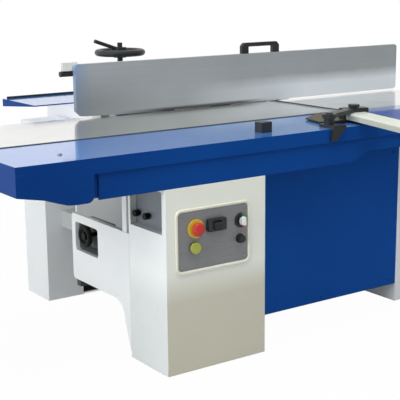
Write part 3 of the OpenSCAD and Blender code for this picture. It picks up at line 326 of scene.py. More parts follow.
# Control panel bezel: a beige moulded frame with rounded corners, whose inner side slopes down to the plate.
# It is pressed onto the cabinet's front, so its back lies flat on the sheet.
def ring_points(width, height, radius):
    steps = 8
    ring = []
    for corner, (sx, sz) in enumerate(((1, 1), (-1, 1), (-1, -1), (1, -1))):
        for step in range(steps + 1):
            angle = math.radians(90.0 * corner + 90.0 * step / steps)
            ring.append((sx * (width / 2 - radius) + radius * math.cos(angle),
                         sz * (height / 2 - radius) + radius * math.sin(angle)))
    return ring


def piece_from(mesh_name, verts, faces, material, body, smooth=40.0):
    data = bpy.data.meshes.new(mesh_name)
    data.from_pydata(verts, [], faces)
    work = bmesh.new()
    work.from_mesh(data)
    bmesh.ops.remove_doubles(work, verts=work.verts, dist=1e-6)
    bmesh.ops.recalc_face_normals(work, faces=work.faces)
    work.to_mesh(data)
    work.free()
    data.materials.append(material)
    if smooth:
        data.shade_smooth()
        data.set_sharp_from_angle(angle=math.radians(smooth))
    piece = bpy.data.objects.new(mesh_name, data)
    bpy.context.collection.objects.link(piece)
    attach(piece, body)
    return piece


def moulded(name, colour, pale, rough=0.42, grain=700.0, depth=0.0005, shine=0.5):
    fold = 0.0015
    cast = Finish(name)
    pores = cast.noise(grain, 2.0)
    drift = cast.noise(22.0, 4.0)
    rub = cast.noise(90.0, 5.0, 0.7)
    edge = cast.edges(fold)
    body = cast.blend(drift.span(0.35, 0.8) * 0.4, colour, pale)
    body = cast.blend((edge * rub.span(0.4, 0.8) * 0.6).clipped(), body, pale)
    return cast.close(Base_Color=body, Roughness=rough + 0.16 * rub.span(0.35, 0.8) - 0.06 * drift,
                      Specular_IOR_Level=shine, Normal=cast.bumped(pores, 0.2, depth, fold))


bezel_low, bezel_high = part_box("panel_bezel")
bezel_mid = (bezel_low + bezel_high) / 2
bezel_wide, bezel_tall = bezel_high.x - bezel_low.x, bezel_high.z - bezel_low.z
bezel_corner, bezel_edge, bezel_step = 0.024, 0.002, 0.0032
bezel_rings = ((0.0, bezel_high.y, bezel_corner), (0.0, bezel_low.y + bezel_edge, bezel_corner),
               (0.0018, bezel_low.y, 0.0222), (0.0065, bezel_low.y, 0.018),
               (0.0105, bezel_high.y - bezel_step, 0.0145), (0.011, bezel_high.y, 0.014))
bezel_verts, bezel_faces = [], []
for inset, depth, radius in bezel_rings:
    bezel_verts += [(bezel_mid.x + x, depth, bezel_mid.z + z)
                    for x, z in ring_points(bezel_wide - 2 * inset, bezel_tall - 2 * inset, radius)]
ring_size = len(bezel_verts) // len(bezel_rings)
for ring in range(len(bezel_rings)):
    after = (ring + 1) % len(bezel_rings)
    for at in range(ring_size):
        beside = (at + 1) % ring_size
        bezel_faces.append((ring * ring_size + at, ring * ring_size + beside, after * ring_size + beside,
                            after * ring_size + at))
beige_mould = moulded("beige_bezel_mould", tone(226, 224, 206), tone(236, 235, 222), 0.38, 800.0)
bezel = piece_from("bezel_frame", bezel_verts, bezel_faces, beige_mould, "machine", 25.0)
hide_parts("panel_bezel")


# Control plate: brushed grey sheet held by four small screws, with the switches let into it.
# Layout grows repeated fasteners with Geometry Nodes and hands each group over as one plain mesh.
class Layout(Graph):
    def __init__(self, name, **numbers):
        super().__init__(bpy.data.node_groups.new(name, "GeometryNodeTree"))
        self.numbers = numbers
        face = self.tree.interface
        face.new_socket("Geometry", in_out="INPUT", socket_type="NodeSocketGeometry")
        for key, value in numbers.items():
            kind = "NodeSocketInt" if isinstance(value, int) else "NodeSocketFloat"
            face.new_socket(key, in_out="INPUT", socket_type=kind)
        face.new_socket("Geometry", in_out="OUTPUT", socket_type="NodeSocketGeometry")
        self.start = self.tree.nodes.new("NodeGroupInput")
        self.end = self.tree.nodes.new("NodeGroupOutput")

    def given(self, key):
        return Wire(self, self.start.outputs[key])

    def vector(self, x=0.0, y=0.0, z=0.0):
        return self.node("ShaderNodeCombineXYZ", X=x, Y=y, Z=z)

    def moved(self, geometry, **how):
        return self.node("GeometryNodeTransform", Geometry=geometry, **how)

    def joined(self, *parts):
        return self.node("GeometryNodeJoinGeometry", Geometry=list(parts))

    def grow(self, geometry, name, points, edges, material, body, slot_name):
        crease = math.radians(35.0)
        real = self.node("GeometryNodeRealizeInstances", i0=geometry)
        dressed = self.node("GeometryNodeSetMaterial", Geometry=real, Material=material)
        self.tree.links.new(dressed.socket, self.end.inputs[0])
        seed = bpy.data.meshes.new(name + "_seed")
        seed.from_pydata(points, edges, [])
        piece = bpy.data.objects.new(name, seed)
        bpy.context.collection.objects.link(piece)
        growth = piece.modifiers.new("growth", "NODES")
        growth.node_group = self.tree
        for item in self.tree.interface.items_tree:
            if item.in_out == "INPUT" and item.name in self.numbers:
                growth[item.identifier] = self.numbers[item.name]
        made = bpy.data.meshes.new_from_object(piece.evaluated_get(bpy.context.evaluated_depsgraph_get()))
        piece.modifiers.remove(growth)
        piece.data = made
        made.name = name
        made.shade_smooth()
        made.set_sharp_from_angle(angle=crease)
        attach(piece, body)
        return piece


def pan_heads(name, points, turned, radius, material, body, slot_name):
    plan = Layout(name + "_plan", Radius=radius, Height=radius * 0.5)
    wide, tall = plan.given("Radius"), plan.given("Height")
    dome = plan.node("GeometryNodeMeshCone", Vertices=28, Radius_Top=wide * 0.7, Radius_Bottom=wide,
                     Depth=tall)
    groove = plan.node("GeometryNodeMeshCube", Size=plan.vector(wide * 1.3, wide * 0.24, tall))
    groove = plan.moved(groove, Translation=plan.vector(z=tall))
    head = plan.node("GeometryNodeMeshBoolean", settings={"operation": "DIFFERENCE"}, i0=dome, i1=groove)
    placed = plan.node("GeometryNodeInstanceOnPoints", Points=plan.given("Geometry"), Instance=head,
                       Rotation=turned)
    return plan.grow(placed, name, points, [], material, body, slot_name)


plate_finish = Finish("brushed_grey_plate")
plate_lines = plate_finish.noise(1.0, 4.0, 0.6, plate_finish.place(stretched=(12.0, 12.0, 1600.0)))
plate_drift = plate_finish.noise(16.0, 4.0)
plate_body = plate_finish.blend(plate_lines.span(0.3, 0.7), tone(126, 127, 127), tone(146, 147, 146))
plate_body = plate_finish.blend(plate_drift.span(0.45, 0.8) * 0.5, plate_body, tone(124, 124, 126))
plate_grey = plate_finish.close(Base_Color=plate_body, Roughness=0.42 + 0.12 * plate_drift, Metallic=0.35,
                                Normal=plate_finish.bumped(plate_lines, 0.15, 0.0004, 0.0012))
dress(plate_grey, "panel_plate")

zinc = Finish("zinc_plated_steel")
zinc_cloud = zinc.noise(160.0, 4.0, 0.6)
zinc_marks = zinc.noise(1.0, 3.0, 0.6, zinc.place(stretched=(900.0, 900.0, 900.0)))
zinc_body = zinc.blend(zinc_cloud.span(0.35, 0.75), tone(176, 178, 178), tone(148, 148, 144))
zinc_steel = zinc.close(Base_Color=zinc_body, Metallic=0.9, Roughness=0.3 + 0.16 * zinc_cloud,
                        Normal=zinc.bumped(zinc_marks, 0.15, 0.0002, 0.0006))
plate_low, plate_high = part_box("panel_plate")
plate_inset, plate_screw_radius = 0.013, 0.0048
plate_corners = [(x, plate_low.y, z) for x in (plate_low.x + plate_inset, plate_high.x - plate_inset)
                 for z in (plate_low.z + plate_inset, plate_high.z - plate_inset)]
facing_front = (math.pi / 2, 0.0, 0.0)
pan_heads("plate_screws", plate_corners, facing_front, plate_screw_radius, zinc_steel, "machine",
          "machined_steel")


# Switches and knobs: moulded plastic on the panel, in the recess and the window, and on fence and guard.
# The stop is a red mushroom on a yellow collar, the start a yellow-green cap, the rest black or white.
yellow_mould = moulded("yellow_collar_mould", tone(214, 176, 44), tone(226, 196, 90), 0.4)
red_mould = moulded("red_stop_mould", tone(186, 44, 36), tone(206, 84, 62), 0.3, 500.0, 0.0003)
green_mould = moulded("start_button_mould", tone(162, 170, 62), tone(186, 190, 104), 0.34, 500.0, 0.0003)
black_mould = moulded("black_switch_mould", tone(30, 33, 33), tone(70, 73, 73), 0.42)
deep_black_mould = moulded("black_knob_mould", tone(11, 12, 12), tone(30, 32, 32), 0.5, shine=0.14)
pale_mould = moulded("white_selector_mould", tone(226, 228, 222), tone(242, 242, 238), 0.36)
dress(yellow_mould, "estop_collar")
dress(red_mould, "estop_button")
dress(green_mould, "start_button")
dress(black_mould, "switch_housings", "rocker_switch", "dial_knob", "fence_handle", "fence_lock_lever",
      "guard_knob")
dress(deep_black_mould, "feed_knob", "lock_knob", "window_wheel")
selector_low, selector_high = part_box("selector_knob")
selector_mid = (selector_low + selector_high) / 2
turning = Finish("selector_two_tone")
turning_pores = turning.noise(600.0, 2.0)
turning_rub = turning.noise(90.0, 5.0, 0.7)
bar_root, bar_foot = selector_low.y + 0.0128, selector_low.y + 0.0134
turning_bar = 1.0 - turning.axes(turning.place())[1].span(bar_root, bar_foot)
turning_black = turning.blend(turning_rub.span(0.4, 0.8) * 0.5, tone(28, 31, 31), tone(62, 65, 65))
turning_pale = turning.blend(turning_rub.span(0.4, 0.8) * 0.5, tone(232, 233, 228), tone(214, 214, 206))
selector_mould = turning.close(Base_Color=turning.blend(turning_bar, turning_black, turning_pale),
                               Roughness=0.36 + 0.16 * turning_rub.span(0.35, 0.8),
                               Normal=turning.bumped(turning_pores, 0.2, 0.0004, 0.001))
dress(selector_mould, "selector_knob")


def ring_of(name, count, radius, bar, turned, centre, material, body, slot_name):
    plan = Layout(name + "_plan", Count=count, Radius=radius)
    ring = plan.node("GeometryNodeMeshCircle", Vertices=plan.given("Count"), Radius=plan.given("Radius"))
    outward = plan.node("FunctionNodeAlignRotationToVector", settings={"axis": "X", "pivot_axis": "Z"},
                        Vector=plan.node("GeometryNodeInputPosition"))
    rib = plan.node("GeometryNodeMeshCube", Size=bar)
    placed = plan.node("GeometryNodeInstanceOnPoints", Points=ring, Instance=rib, Rotation=outward)
    placed = plan.moved(placed, Rotation=turned, Translation=tuple(centre))
    return plan.grow(placed, name, [], [], material, body, slot_name)


dial_low, dial_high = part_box("dial_knob")
dial_mid = (dial_low + dial_high) / 2
rib_count, rib_radius, rib_size, rib_set = 22, 0.0130, (0.0016, 0.0014, 0.0120), 0.0075
ring_of("dial_ribs", rib_count, rib_radius, rib_size, facing_front,
        (dial_mid.x, dial_low.y + rib_set, dial_mid.z), black_mould, "dial", "black_plastic")
mark_count, mark_radius, mark_size, mark_lift = 12, 0.0215, (0.0040, 0.0011, 0.0004), 0.0001
ring_of("dial_marks", mark_count, mark_radius, mark_size, facing_front,
        (dial_mid.x, plate_low.y - mark_lift, dial_mid.z), pale_mould, "machine", "light_plastic")


def ring_sector(name, centre, face, inner, outer, first, last, material):
    thick, steps = 0.0008, 14
    verts, faces = [], []
    for step in range(steps + 1):
        angle = math.radians(first + (last - first) * step / steps)
        for radius, depth in ((inner, face), (outer, face), (outer, face - thick), (inner, face - thick)):
            verts.append((centre.x + radius * math.cos(angle), depth, centre.z + radius * math.sin(angle)))
        if step:
            start = 4 * (step - 1)
            for side in range(4):
                beside = (side + 1) % 4
                faces.append((start + side, start + beside, start + 4 + beside, start + 4 + side))
    faces += [(0, 1, 2, 3), tuple(4 * steps + side for side in (3, 2, 1, 0))]
    return piece_from(name, verts, faces, material, "machine")


ring_thick = 0.005
ring_face = plate_low.y - ring_thick
sector_inner, sector_outer, sector_near, sector_far = 0.0172, 0.0254, 8.0, 84.0
run_green = moulded("run_mark_green", tone(64, 140, 84), tone(96, 164, 112), 0.4)
ring_sector("run_mark", selector_mid, ring_face, sector_inner, sector_outer, sector_near, sector_far,
            run_green)
ring_sector("stop_mark", selector_mid, ring_face, sector_inner, sector_outer, -sector_far, -sector_near,
            red_mould)


# Blue casings: front table, lower panel, front cover and rear shelf, in cast and folded steel.
# They have a glossy blue enamel, which picks up the pale room on its flat tops, except round the guard.
# Their flat tops are painted a lighter blue as painted light, with a streaked painted reflection left of the
# guard, a painted shadow right of it and a painted sheen at the table's right rear edge.
# The shelf casts no shadow, so that the white frame under it stays bright.
def gloss_enamel(name, colour, deep):
    enamel = Finish(name)
    navy, lit, rubbed = tone(7, 44, 104), tone(21, 102, 182), tone(52, 108, 184)
    peel = enamel.noise(420.0, 2.0)
    drift = enamel.noise(1.7, 4.0)
    dust = enamel.noise(26.0, 7.0, 0.72)
    streak = enamel.noise(1.0, 4.0, 0.6, enamel.place(stretched=(3.0, 60.0, 60.0)))
    edge = enamel.edges(0.004)
    along, across = enamel.axes(enamel.place())[:2]
    # Painted shadow: right of the guard the tops lose their lighter colour and coat and are painted darker
    # navy.
    guard_shadow_zone = along.span(0.06, 0.44)
    top = enamel.facing()[2].span(0.5, 0.95)
    upward = top * (1.0 - guard_shadow_zone)
    body = enamel.blend(drift.span(0.3, 0.75), colour, deep)
    body = enamel.blend((1.0 - along.span(-1.1, -0.5)) * 0.5, body, navy)
    # Painted light: the flat tops are painted a lighter blue, as if lit from above.
    body = enamel.blend(upward, body, lit)
    # Painted reflection: a pale, lengthwise-streaked lightening on the tops left of the guard.
    painted_top_reflection = upward * along.span(-0.45, 0.0) * (0.55 + 0.45 * streak.span(0.3, 0.7))
    body = enamel.blend(painted_top_reflection * 0.45, body, tone(140, 178, 214))
    body = enamel.blend(top * guard_shadow_zone * 0.3, body, navy)
    # Painted sheen: a lighter patch on the tops at the table's right rear edge.
    sheen = top * along.span(0.44, 0.58) * across.span(-0.30, -0.25) * (1.0 - across.span(0.0, 0.1))
    body = enamel.blend(sheen * 0.3, body, lit)
    body = enamel.blend(streak.span(0.6, 0.85) * 0.12, body, rubbed)
    body = enamel.blend((edge * enamel.noise(45.0, 5.0, 0.7).span(0.45, 0.8) * 0.5).clipped(), body, rubbed)
    return enamel.close(
        Base_Color=body, Roughness=0.3 + 0.12 * dust.span(0.4, 0.8) - 0.12 * upward, Specular_IOR_Level=0.06,
        Coat_Weight=(upward + sheen).clipped(), Coat_Roughness=0.08, Coat_IOR=2.1,
        Normal=enamel.bumped(peel, 0.06, 0.0003, 0.004))


blue_enamel = gloss_enamel("blue_enamel", tone(9, 68, 142), tone(8, 62, 132))
# The cover's enamel is painted a lighter blue to offset the shade under the table's lip.
cover_enamel = gloss_enamel("cover_enamel", tone(11, 77, 157), tone(9, 70, 147))
dress(blue_enamel, "front_table", "lower_panel", "rear_shelf")
frame["nodes"]["rear_shelf"].visible_shadow = False
dress(cover_enamel, "front_cover")

cover_low, cover_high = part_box("front_cover")
cover_side, cover_end, cover_screw_radius = 0.03, 0.02, 0.0060
cover_run = cover_high.x - cover_low.x - 2 * cover_side
cover_points = [(cover_low.x + cover_side + cover_run * share, cover_low.y, z) for share in (0.0, 0.5, 1.0)
                for z in (cover_low.z + cover_end, cover_high.z - cover_end)]
pan_heads("cover_screws", cover_points, facing_front, cover_screw_radius, cover_enamel, "machine",
          "blue_paint")
table_low, table_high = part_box("front_table")
table_screw_x, table_screw_y, table_screw_radius = table_low.x + 0.213, table_low.y + 0.12, 0.0085
facing_up = (0.0, 0.0, 0.0)
pan_heads("table_screw", [(table_screw_x, table_screw_y, table_high.z)], facing_up, table_screw_radius,
          zinc_steel, "machine", "machined_steel")


# Trim on the rear shelf's rail: a black edging, folded over the rail's front and top.
# It runs the length of the rail, a third of a millimetre short of the rail's back.
shelf_low, shelf_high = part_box("rear_shelf")
rail_thick, rail_tall, shelf_thick = 0.005, 0.007, 0.005
trim_start, trim_end, trim_thick, trim_short = shelf_low.x + 0.02, shelf_high.x, 0.0012, 0.0003
rail_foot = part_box("base_rails")[1].z + shelf_thick
trim_outline = [(-rail_thick - trim_thick, 0.0), (-rail_thick, 0.0), (-rail_thick, rail_tall),
                (-trim_short, rail_tall), (-trim_short, rail_tall + trim_thick),
                (-rail_thick - trim_thick, rail_tall + trim_thick)]
trim_bends = len(trim_outline)
trim_verts = [(x, shelf_high.y + y, rail_foot + z) for x in (trim_start, trim_end) for y, z in trim_outline]
trim_faces = [(at, (at + 1) % trim_bends, trim_bends + (at + 1) % trim_bends, trim_bends + at)
              for at in range(trim_bends)]
trim_faces += [tuple(range(trim_bends)), tuple(range(2 * trim_bends - 1, trim_bends - 1, -1))]
piece_from("rail_trim", trim_verts, trim_faces, black_mould, "machine", 25.0)


# Planer tables and thicknesser bed: cast iron, ground across the top until it mirrors at a low angle.
# The ground faces show fine lines along the feed, the cast sides underneath stay dull and grainy.
iron = Finish("ground_iron")
iron_lines = iron.noise(1.0, 5.0, 0.65, iron.place(stretched=(2.0, 900.0, 40.0)))
iron_swirl = iron.noise(7.0, 6.0, 0.65)
iron_cast = iron.noise(240.0, 3.0)
iron_top = iron.facing()[2].over(0.9)
iron_body = iron.blend(iron_lines.span(0.3, 0.7), tone(221, 221, 218), tone(234, 234, 231))
iron_body = iron.blend(iron_swirl.span(0.5, 0.85) * 0.4, iron_body, tone(206, 204, 199))
iron_rough_body = iron.blend(iron_cast.span(0.3, 0.7), tone(104, 104, 102), tone(128, 127, 124))
iron_all = iron.blend(iron_top, iron_rough_body, iron_body)
ground_iron = iron.close(
    Base_Color=iron_all, Metallic=0.55 + 0.33 * iron_top,
    Roughness=0.55 - 0.41 * iron_top + 0.06 * iron_swirl.span(0.4, 0.8),
    Normal=iron.bumped(iron_cast * (1.0 - iron_top) + iron_lines * 0.05, 0.25, 0.0006, 0.0015))
dress(ground_iron, "outfeed_table", "infeed_table", "thicknesser_bed")


# Fence: a long planed aluminium plate, dull silver with lengthwise tool marks.
# It is drilled for the tilt lock's stud and carries two hinge knuckles on its back.
# Its face has a bright painted reflection at the lower right, painted shade and a blue tint at the left end,
# and a painted shadow along its seat.
planed = Finish("planed_aluminium")
planed_lines = planed.noise(1.0, 5.0, 0.65, planed.place(stretched=(1.5, 60.0, 420.0)))
planed_cloud = planed.noise(3.2, 5.0, 0.6)
planed_smear = planed.noise(30.0, 6.0, 0.7)
planed_body = planed.blend(planed_lines.span(0.3, 0.7), tone(167, 174, 176), tone(183, 189, 190))
planed_body = planed.blend(planed_cloud.span(0.4, 0.75) * 0.5, planed_body, tone(160, 166, 167))
fence_low, fence_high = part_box("fence_plate")
planed_x, planed_z = planed.axes(planed.place())[::2]
planed_rise = planed_z.span(fence_low.z, fence_high.z)
planed_body = planed.blend(planed_rise * 0.35, planed_body, tone(158, 160, 160))
# Painted reflection: the lower right of the face is painted almost white.
planed_painted_reflection = planed_x.span(-0.05, 0.62) * (1.0 - (planed_rise + 0.12 * planed_cloud).span(0.34, 0.58))
planed_body = planed.blend(planed_painted_reflection * 0.95, planed_body, tone(240, 247, 251))
planed_tint = 1.0 - planed_x.span(fence_low.x, fence_low.x + 0.07)
planed_body = planed.blend(planed_tint * 0.55, planed_body, tone(112, 150, 206))
planed_left = 1.0 - planed_x.span(fence_low.x + 0.05, fence_low.x + 0.42)
planed_shade = planed_left * (1.0 - planed_rise.span(0.3, 0.9))
planed_body = planed.blend(planed_shade * 0.6, planed_body, tone(118, 123, 124))
planed_middle = planed_x.span(-0.40, -0.15) * (1.0 - planed_x.span(0.25, 0.42))
# Painted shadow: a dark band along the bottom of the face, over the middle of the tables.
planed_seat_shadow = planed_middle * (1.0 - planed_rise.span(0.03, 0.07))
planed_body = planed.blend(planed_seat_shadow * 0.85, planed_body, tone(52, 54, 55))
planed_body = planed.blend(planed.edges(0.002) * 0.5, planed_body, tone(206, 208, 210))
planed_aluminium = planed.close(
    Base_Color=planed_body, Metallic=0.3, Roughness=0.36 + 0.14 * planed_smear.span(0.35, 0.8),
    Normal=planed.bumped(planed_lines, 0.12, 0.0005, 0.002))
dress(planed_aluminium, "fence_plate")


# Shadow strip: a black plastic bar let under the fence's foot, over the middle of the tables;
# it stands in for the shadow in the gap under the fence.
# It stops about a millimetre above the ground iron and tilts and slides with the fence.
strip_left, strip_right, strip_front, strip_back, strip_tall = -0.37, 0.40, 0.001, 0.013, 0.0018
strip_verts = [(x, y, z) for x in (strip_left, strip_right)
               for y in (fence_low.y + strip_front, fence_low.y + strip_back)
               for z in (fence_low.z - strip_tall, fence_low.z)]
strip_faces = [(0, 1, 3, 2), (4, 6, 7, 5), (0, 4, 5, 1), (2, 3, 7, 6), (0, 2, 6, 4), (1, 5, 7, 3)]
piece_from("fence_shadow_strip", strip_verts, strip_faces, deep_black_mould, "fence", 0.0)


# Tilt lock at the fence's left end: a pale cast arm with a black grip along its lower edge.
# One casting with two finishes, split where the round grip starts.
lock_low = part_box("tilt_lever")[0]
grip_top, arm_foot = lock_low.z + 0.0225, lock_low.z + 0.024
lock = Finish("tilt_lock_two_tone")
lock_pores = lock.noise(500.0, 3.0)
lock_rub = lock.noise(70.0, 5.0, 0.7)
lock_grip = 1.0 - lock.axes(lock.place())[2].span(grip_top, arm_foot)
lock_body = lock.blend(lock_rub.span(0.4, 0.8), tone(214, 217, 208), tone(196, 199, 192))
lock_black = lock.blend(lock_rub.span(0.4, 0.8) * 0.5, tone(26, 28, 29), tone(58, 60, 61))
lock_coat = lock.close(Base_Color=lock.blend(lock_grip, lock_body, lock_black),
                       Roughness=0.4 + 0.14 * lock_rub.span(0.35, 0.8),
                       Normal=lock.bumped(lock_pores, 0.2, 0.0005, 0.002))
dress(lock_coat, "tilt_lever")


# Guard: a cream enamelled bar in a black arm and bracket, over a brown laminate board.
# The bar slides through the arm's clamp and the arm swings on the bracket's post.
# The handwheel and the depth screw have the arm's black enamel.
cream_coat = powder_coat("cream_enamel", tone(198, 203, 190), tone(226, 228, 216), tone(186, 190, 176),
                         0.3, 0.003)
black_coat = powder_coat("black_enamel", tone(30, 32, 33), tone(86, 88, 90), tone(40, 42, 43), 0.36, 0.002)
board = Finish("brown_laminate")
board_grain = board.noise(1.0, 5.0, 0.65, board.place(stretched=(9.0, 160.0, 160.0)))
board_ply = board.node("ShaderNodeTexWave", out="Fac", settings={"bands_direction": "Z"},
                       Vector=board.place(), Scale=260.0, Distortion=0.6, Detail=2.0)
board_side = 1.0 - board.facing()[2].span(0.6, 0.9)
board_body = board.blend(board_grain.span(0.3, 0.75), tone(58, 52, 39), tone(72, 63, 46))
board_body = board.blend(board_ply * board_side * 0.6, board_body, tone(44, 37, 28))
brown_board = board.close(Base_Color=board_body, Roughness=0.5 + 0.14 * board_grain,
                          Normal=board.bumped(board_grain, 0.2, 0.0005, 0.0015))
dress(cream_coat, "guard_bar")
dress(black_coat, "guard_bracket", "guard_arm", "handwheel", "depth_screw")
dress(brown_board, "guard_board")


# Working steel: cutterblock, knives, pulleys, rollers, screws and bars, turned or ground bright.
# Fine turning marks run round the shafts that lie across the feed, and a thin oil film dulls the steel.
bright_steel = Finish("turned_steel")
steel_marks = bright_steel.noise(1.0, 3.0, 0.6, bright_steel.place(stretched=(40.0, 1400.0, 40.0)))
steel_film = bright_steel.noise(24.0, 5.0, 0.65)
steel_body = bright_steel.blend(steel_marks.span(0.3, 0.7), tone(158, 160, 163), tone(186, 188, 190))
steel_body = bright_steel.blend(steel_film.span(0.5, 0.85) * 0.45, steel_body, tone(112, 108, 102))
turned_steel = bright_steel.close(
    Base_Color=steel_body, Metallic=1.0, Roughness=0.24 + 0.2 * steel_film.span(0.35, 0.8),
    Normal=bright_steel.bumped(steel_marks, 0.12, 0.0003, 0.001))
dress(turned_steel, "cutterblock", "knives", "cutter_pulley", "motor_pulley", "infeed_roller",
      "outfeed_roller", "gear_sprocket", "pressure_bars", "kickback_fingers", "lead_screw", "fence_bar")

block_low, block_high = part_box("knives")
block_mid = (block_low + block_high) / 2
knife_count, gib_rows, gib_lead = 4, 7, 20.0
gib_aside, gib_out, gib_radius, gib_tall = 0.008, 0.056, 0.0042, 0.003
gib_points = []
for knife in range(knife_count):
    angle = math.radians(360.0 / knife_count * knife + gib_lead)
    for row in range(gib_rows):
        along = block_low.y + (block_high.y - block_low.y) * (row + 0.5) / gib_rows
        gib_points.append((block_mid.x + gib_aside * math.cos(angle) + gib_out * math.sin(angle), along,
                           block_mid.z - gib_aside * math.sin(angle) + gib_out * math.cos(angle)))
gibs = Layout("gib_screws_plan", Rows=gib_rows, Radius=gib_radius, Height=gib_tall)
gib_turn = gibs.node("ShaderNodeMath", settings={"operation": "FLOOR"},
                     i0=gibs.node("GeometryNodeInputIndex") / gibs.given("Rows") + 0.001)
gib_hex = gibs.node("GeometryNodeMeshCylinder", Vertices=6, Radius=gibs.given("Radius"),
                    Depth=gibs.given("Height"))
gib_heads = gibs.node("GeometryNodeInstanceOnPoints", Points=gibs.given("Geometry"), Instance=gib_hex,
                      Rotation=gibs.vector(y=gib_turn * (2 * math.pi / knife_count) + math.radians(gib_lead)))
gibs.grow(gib_heads, "gib_screws", gib_points, [], turned_steel, "cutter", "machined_steel")


# Welded frame and its small castings: rails, bed support, bearing blocks and fence guide.
# The rails are white in front; under the shelf they are painted a brighter white as painted light,
# at the back they are painted grey as shade, and they are black near the floor.
# The bed support has grey primer, and the castings have dark enamel.
primer = powder_coat("grey_primer", tone(150, 153, 156), tone(176, 178, 180), tone(132, 135, 138), 0.5, 0.003)
dark_coat = powder_coat("dark_enamel", tone(52, 55, 58), tone(96, 99, 102), tone(64, 66, 68), 0.42, 0.003)
rails = Finish("rail_two_tone")
rails_peel = rails.noise(500.0, 2.0)
rails_grime = rails.noise(14.0, 6.0, 0.7)
rails_y, rails_z = rails.axes(rails.place())[1:]
rails_rear = rails_y.over(0.2)
rails_dark = rails_rear * rails_z.under(0.2)
rails_shade = rails_rear * rails_z.under(0.7)
rails_arm_painted_light = rails_y.over(0.4) * rails_z.over(0.7)
rails_pale = rails.blend(rails_grime.span(0.4, 0.8), tone(226, 229, 229), tone(208, 211, 211))
# Painted shade: the rear stretchers are painted grey.
rails_pale = rails.blend(rails_shade * 0.85, rails_pale, tone(168, 172, 172))
# Painted light: under the shelf the rails are painted a brighter white.
rails_pale = rails.blend(rails_arm_painted_light, rails_pale, tone(250, 251, 251))
rails_black = rails.blend(rails_grime.span(0.4, 0.8), tone(40, 42, 43), tone(58, 60, 60))
rail_coat = rails.close(Base_Color=rails.blend(rails_dark, rails_pale, rails_black),
                        Roughness=0.42 + 0.16 * rails_grime.span(0.35, 0.8),
                        Normal=rails.bumped(rails_peel, 0.12, 0.0004, 0.003))
dress(rail_coat, "base_rails")
dress(primer, "bed_support")
dress(dark_coat, "bearing_housings", "fence_guide")


def hex_heads(name, points, turned, radius):
    plan = Layout(name + "_plan", Radius=radius, Height=radius * 0.72)
    wide, tall = plan.given("Radius"), plan.given("Height")
    washer = plan.node("GeometryNodeMeshCylinder", Vertices=32, Radius=wide * 1.3, Depth=tall * 0.25)
    washer = plan.moved(washer, Translation=plan.vector(z=tall * 0.125))
    head = plan.node("GeometryNodeMeshCylinder", Vertices=6, Radius=wide, Depth=tall)
    head = plan.moved(head, Translation=plan.vector(z=tall * 0.75))
    placed = plan.node("GeometryNodeInstanceOnPoints", Points=plan.given("Geometry"),
                       Instance=plan.joined(washer, head), Rotation=turned)
    return plan.grow(placed, name, points, [], zinc_steel, "machine", "machined_steel")


facing_back = (-math.pi / 2, 0.0, 0.0)
housing_low, housing_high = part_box("bearing_housings")
housing_side, housing_end = 0.016, 0.014
housing_points = [(x, housing_high.y, z)
                  for x in (housing_low.x + housing_side, housing_high.x - housing_side)
                  for z in (housing_low.z + housing_end, housing_high.z - housing_end)]
guide_low, guide_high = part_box("fence_guide")
guide_side, guide_rises = 0.014, (0.016, 0.07)
guide_points = [(x, guide_high.y, guide_low.z + rise)
                for x in (guide_low.x + guide_side, guide_high.x - guide_side) for rise in guide_rises]
rear_bolt_radius = 0.0070
hex_heads("rear_bolts", housing_points + guide_points, facing_back, rear_bolt_radius)


# Chains: roller chain from the gearmotor to both feed rollers, and from the handwheel shaft to the lead
# screw. Each link is two side plates on a roller, and every other link sits a little wider.
chain_pitch, sprocket_radius = 0.0127, 0.0333


def roller_chain(name, path, links, pivot, turned, node):
    plan = Layout(name + "_plan", Links=links, Pitch=chain_pitch, Tall=0.0054, Plate=0.0012, Apart=0.0054)
    pitch, tall, plate, apart = (plan.given(key) for key in ("Pitch", "Tall", "Plate", "Apart"))
    curve = plan.node("GeometryNodeMeshToCurve", Mesh=plan.given("Geometry"))
    curve = plan.node("GeometryNodeResampleCurve", Curve=curve, Count=plan.given("Links"))
    bar = plan.node("GeometryNodeMeshCube", Size=plan.vector(pitch, tall, plate))
    plate_end = plan.node("GeometryNodeMeshCylinder", Vertices=20, Radius=tall * 0.5, Depth=plate)
    side = plan.joined(bar, plan.moved(plate_end, Translation=plan.vector(x=pitch * 0.5)),
                       plan.moved(plate_end, Translation=plan.vector(x=pitch * -0.5)))
    roller = plan.node("GeometryNodeMeshCylinder", Vertices=20, Radius=tall * 0.44, Depth=apart)
    roller = plan.moved(roller, Translation=plan.vector(x=pitch * 0.5))
    link = plan.joined(plan.moved(side, Translation=plan.vector(z=apart * 0.5)),
                       plan.moved(side, Translation=plan.vector(z=apart * -0.5)), roller)
    link = plan.moved(link, Rotation=turned)
    odd = plan.node("ShaderNodeMath", settings={"operation": "MODULO"},
                    i0=plan.node("GeometryNodeInputIndex"), i1=2.0)
    wider = 0.84 + 0.16 * odd
    size = plan.vector(1.0, wider if pivot == "Y" else 1.0, wider if pivot == "Z" else 1.0)
    along = plan.node("FunctionNodeAlignRotationToVector", settings={"axis": "X", "pivot_axis": pivot},
                      Vector=plan.node("GeometryNodeInputTangent"))
    placed = plan.node("GeometryNodeInstanceOnPoints", Points=curve, Instance=link, Rotation=along,
                       Scale=size)
    loop = [(at, (at + 1) % len(path)) for at in range(len(path))]
    chain = plan.grow(placed, name, path, loop, dark_coat, "machine", "dark_steel")
    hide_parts(node)


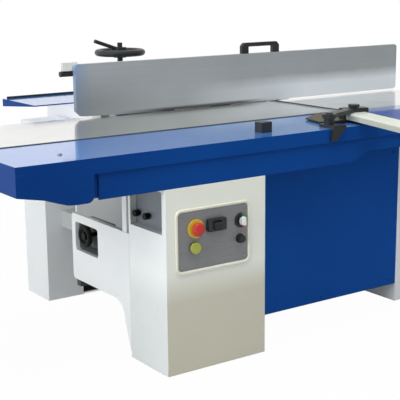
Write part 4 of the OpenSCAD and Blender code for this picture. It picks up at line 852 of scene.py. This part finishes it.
def chain_path(wheels, radius):
    steps = 20
    path = []
    for at, here in enumerate(wheels):
        before, after = wheels[at - 1], wheels[(at + 1) % len(wheels)]
        first = math.atan2(here[1] - before[1], here[0] - before[0]) - math.pi / 2
        last = math.atan2(after[1] - here[1], after[0] - here[0]) - math.pi / 2
        swept = (last - first) % (2 * math.pi)
        path += [(here[0] + radius * math.cos(first + swept * step / steps),
                  here[1] + radius * math.sin(first + swept * step / steps)) for step in range(steps + 1)]
    return path


def link_count(path):
    length = sum(math.dist(path[at - 1], path[at]) for at in range(len(path)))
    return 2 * round(length / (2 * chain_pitch))


joint_place = {joint["name"]: joint["pos_m"] for joint in frame["record"]["behaviour"]["joints"]
               if "pos_m" in joint}
feed_low, feed_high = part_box("feed_chain")
feed_wheels = [(joint_place[name][0], joint_place[name][2])
               for name in ("infeed_roller_spin", "gear_spin", "outfeed_roller_spin")]
feed_path = chain_path(feed_wheels, sprocket_radius)
roller_chain("feed_roller_chain", [(x, (feed_low.y + feed_high.y) / 2, z) for x, z in feed_path],
             link_count(feed_path), "Y", facing_front, "feed_chain")
lift_low, lift_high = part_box("lift_chain")
lift_wheels = [(joint_place[name][0], joint_place[name][1]) for name in ("bed_screw_spin", "handwheel_spin")]
lift_path = chain_path(lift_wheels, sprocket_radius)
roller_chain("lift_roller_chain", [(x, y, (lift_low.z + lift_high.z) / 2) for x, y in lift_path],
             link_count(lift_path), "Z", facing_up, "lift_chain")


# Drive: the main motor with its cooling fins, the feed gearmotor and the flat belt.
# The motors have grey-blue enamel; the belt is black rubber over a woven back.
motor_coat = powder_coat("motor_enamel", tone(92, 108, 128), tone(132, 146, 162), tone(80, 95, 114),
                         0.4, 0.003)
rubber = Finish("belt_rubber")
rubber_weave = rubber.node("ShaderNodeTexWave", out="Fac", settings={"bands_direction": "Y"},
                           Vector=rubber.place(), Scale=420.0, Distortion=0.4)
rubber_dust = rubber.noise(40.0, 5.0, 0.7)
rubber_body = rubber.blend(rubber_dust.span(0.5, 0.85) * 0.5, tone(26, 26, 27), tone(74, 71, 66))
belt_rubber = rubber.close(Base_Color=rubber_body, Roughness=0.72 + 0.12 * rubber_dust,
                           Normal=rubber.bumped(rubber_weave, 0.3, 0.0005))
dress(motor_coat, "motor", "feed_gearmotor")
motor_axis = joint_place["motor_spin"]
motor_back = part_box("motor")[1].y
fin_count, fin_radius, fin_size, fin_set = 44, 0.1015, (0.007, 0.0026, 0.212), 0.165
ring_of("motor_fins", fin_count, fin_radius, fin_size, facing_front,
        (motor_axis[0], motor_back - fin_set, motor_axis[2]), motor_coat, "machine", "motor_paint")
dress(belt_rubber, "drive_belt")
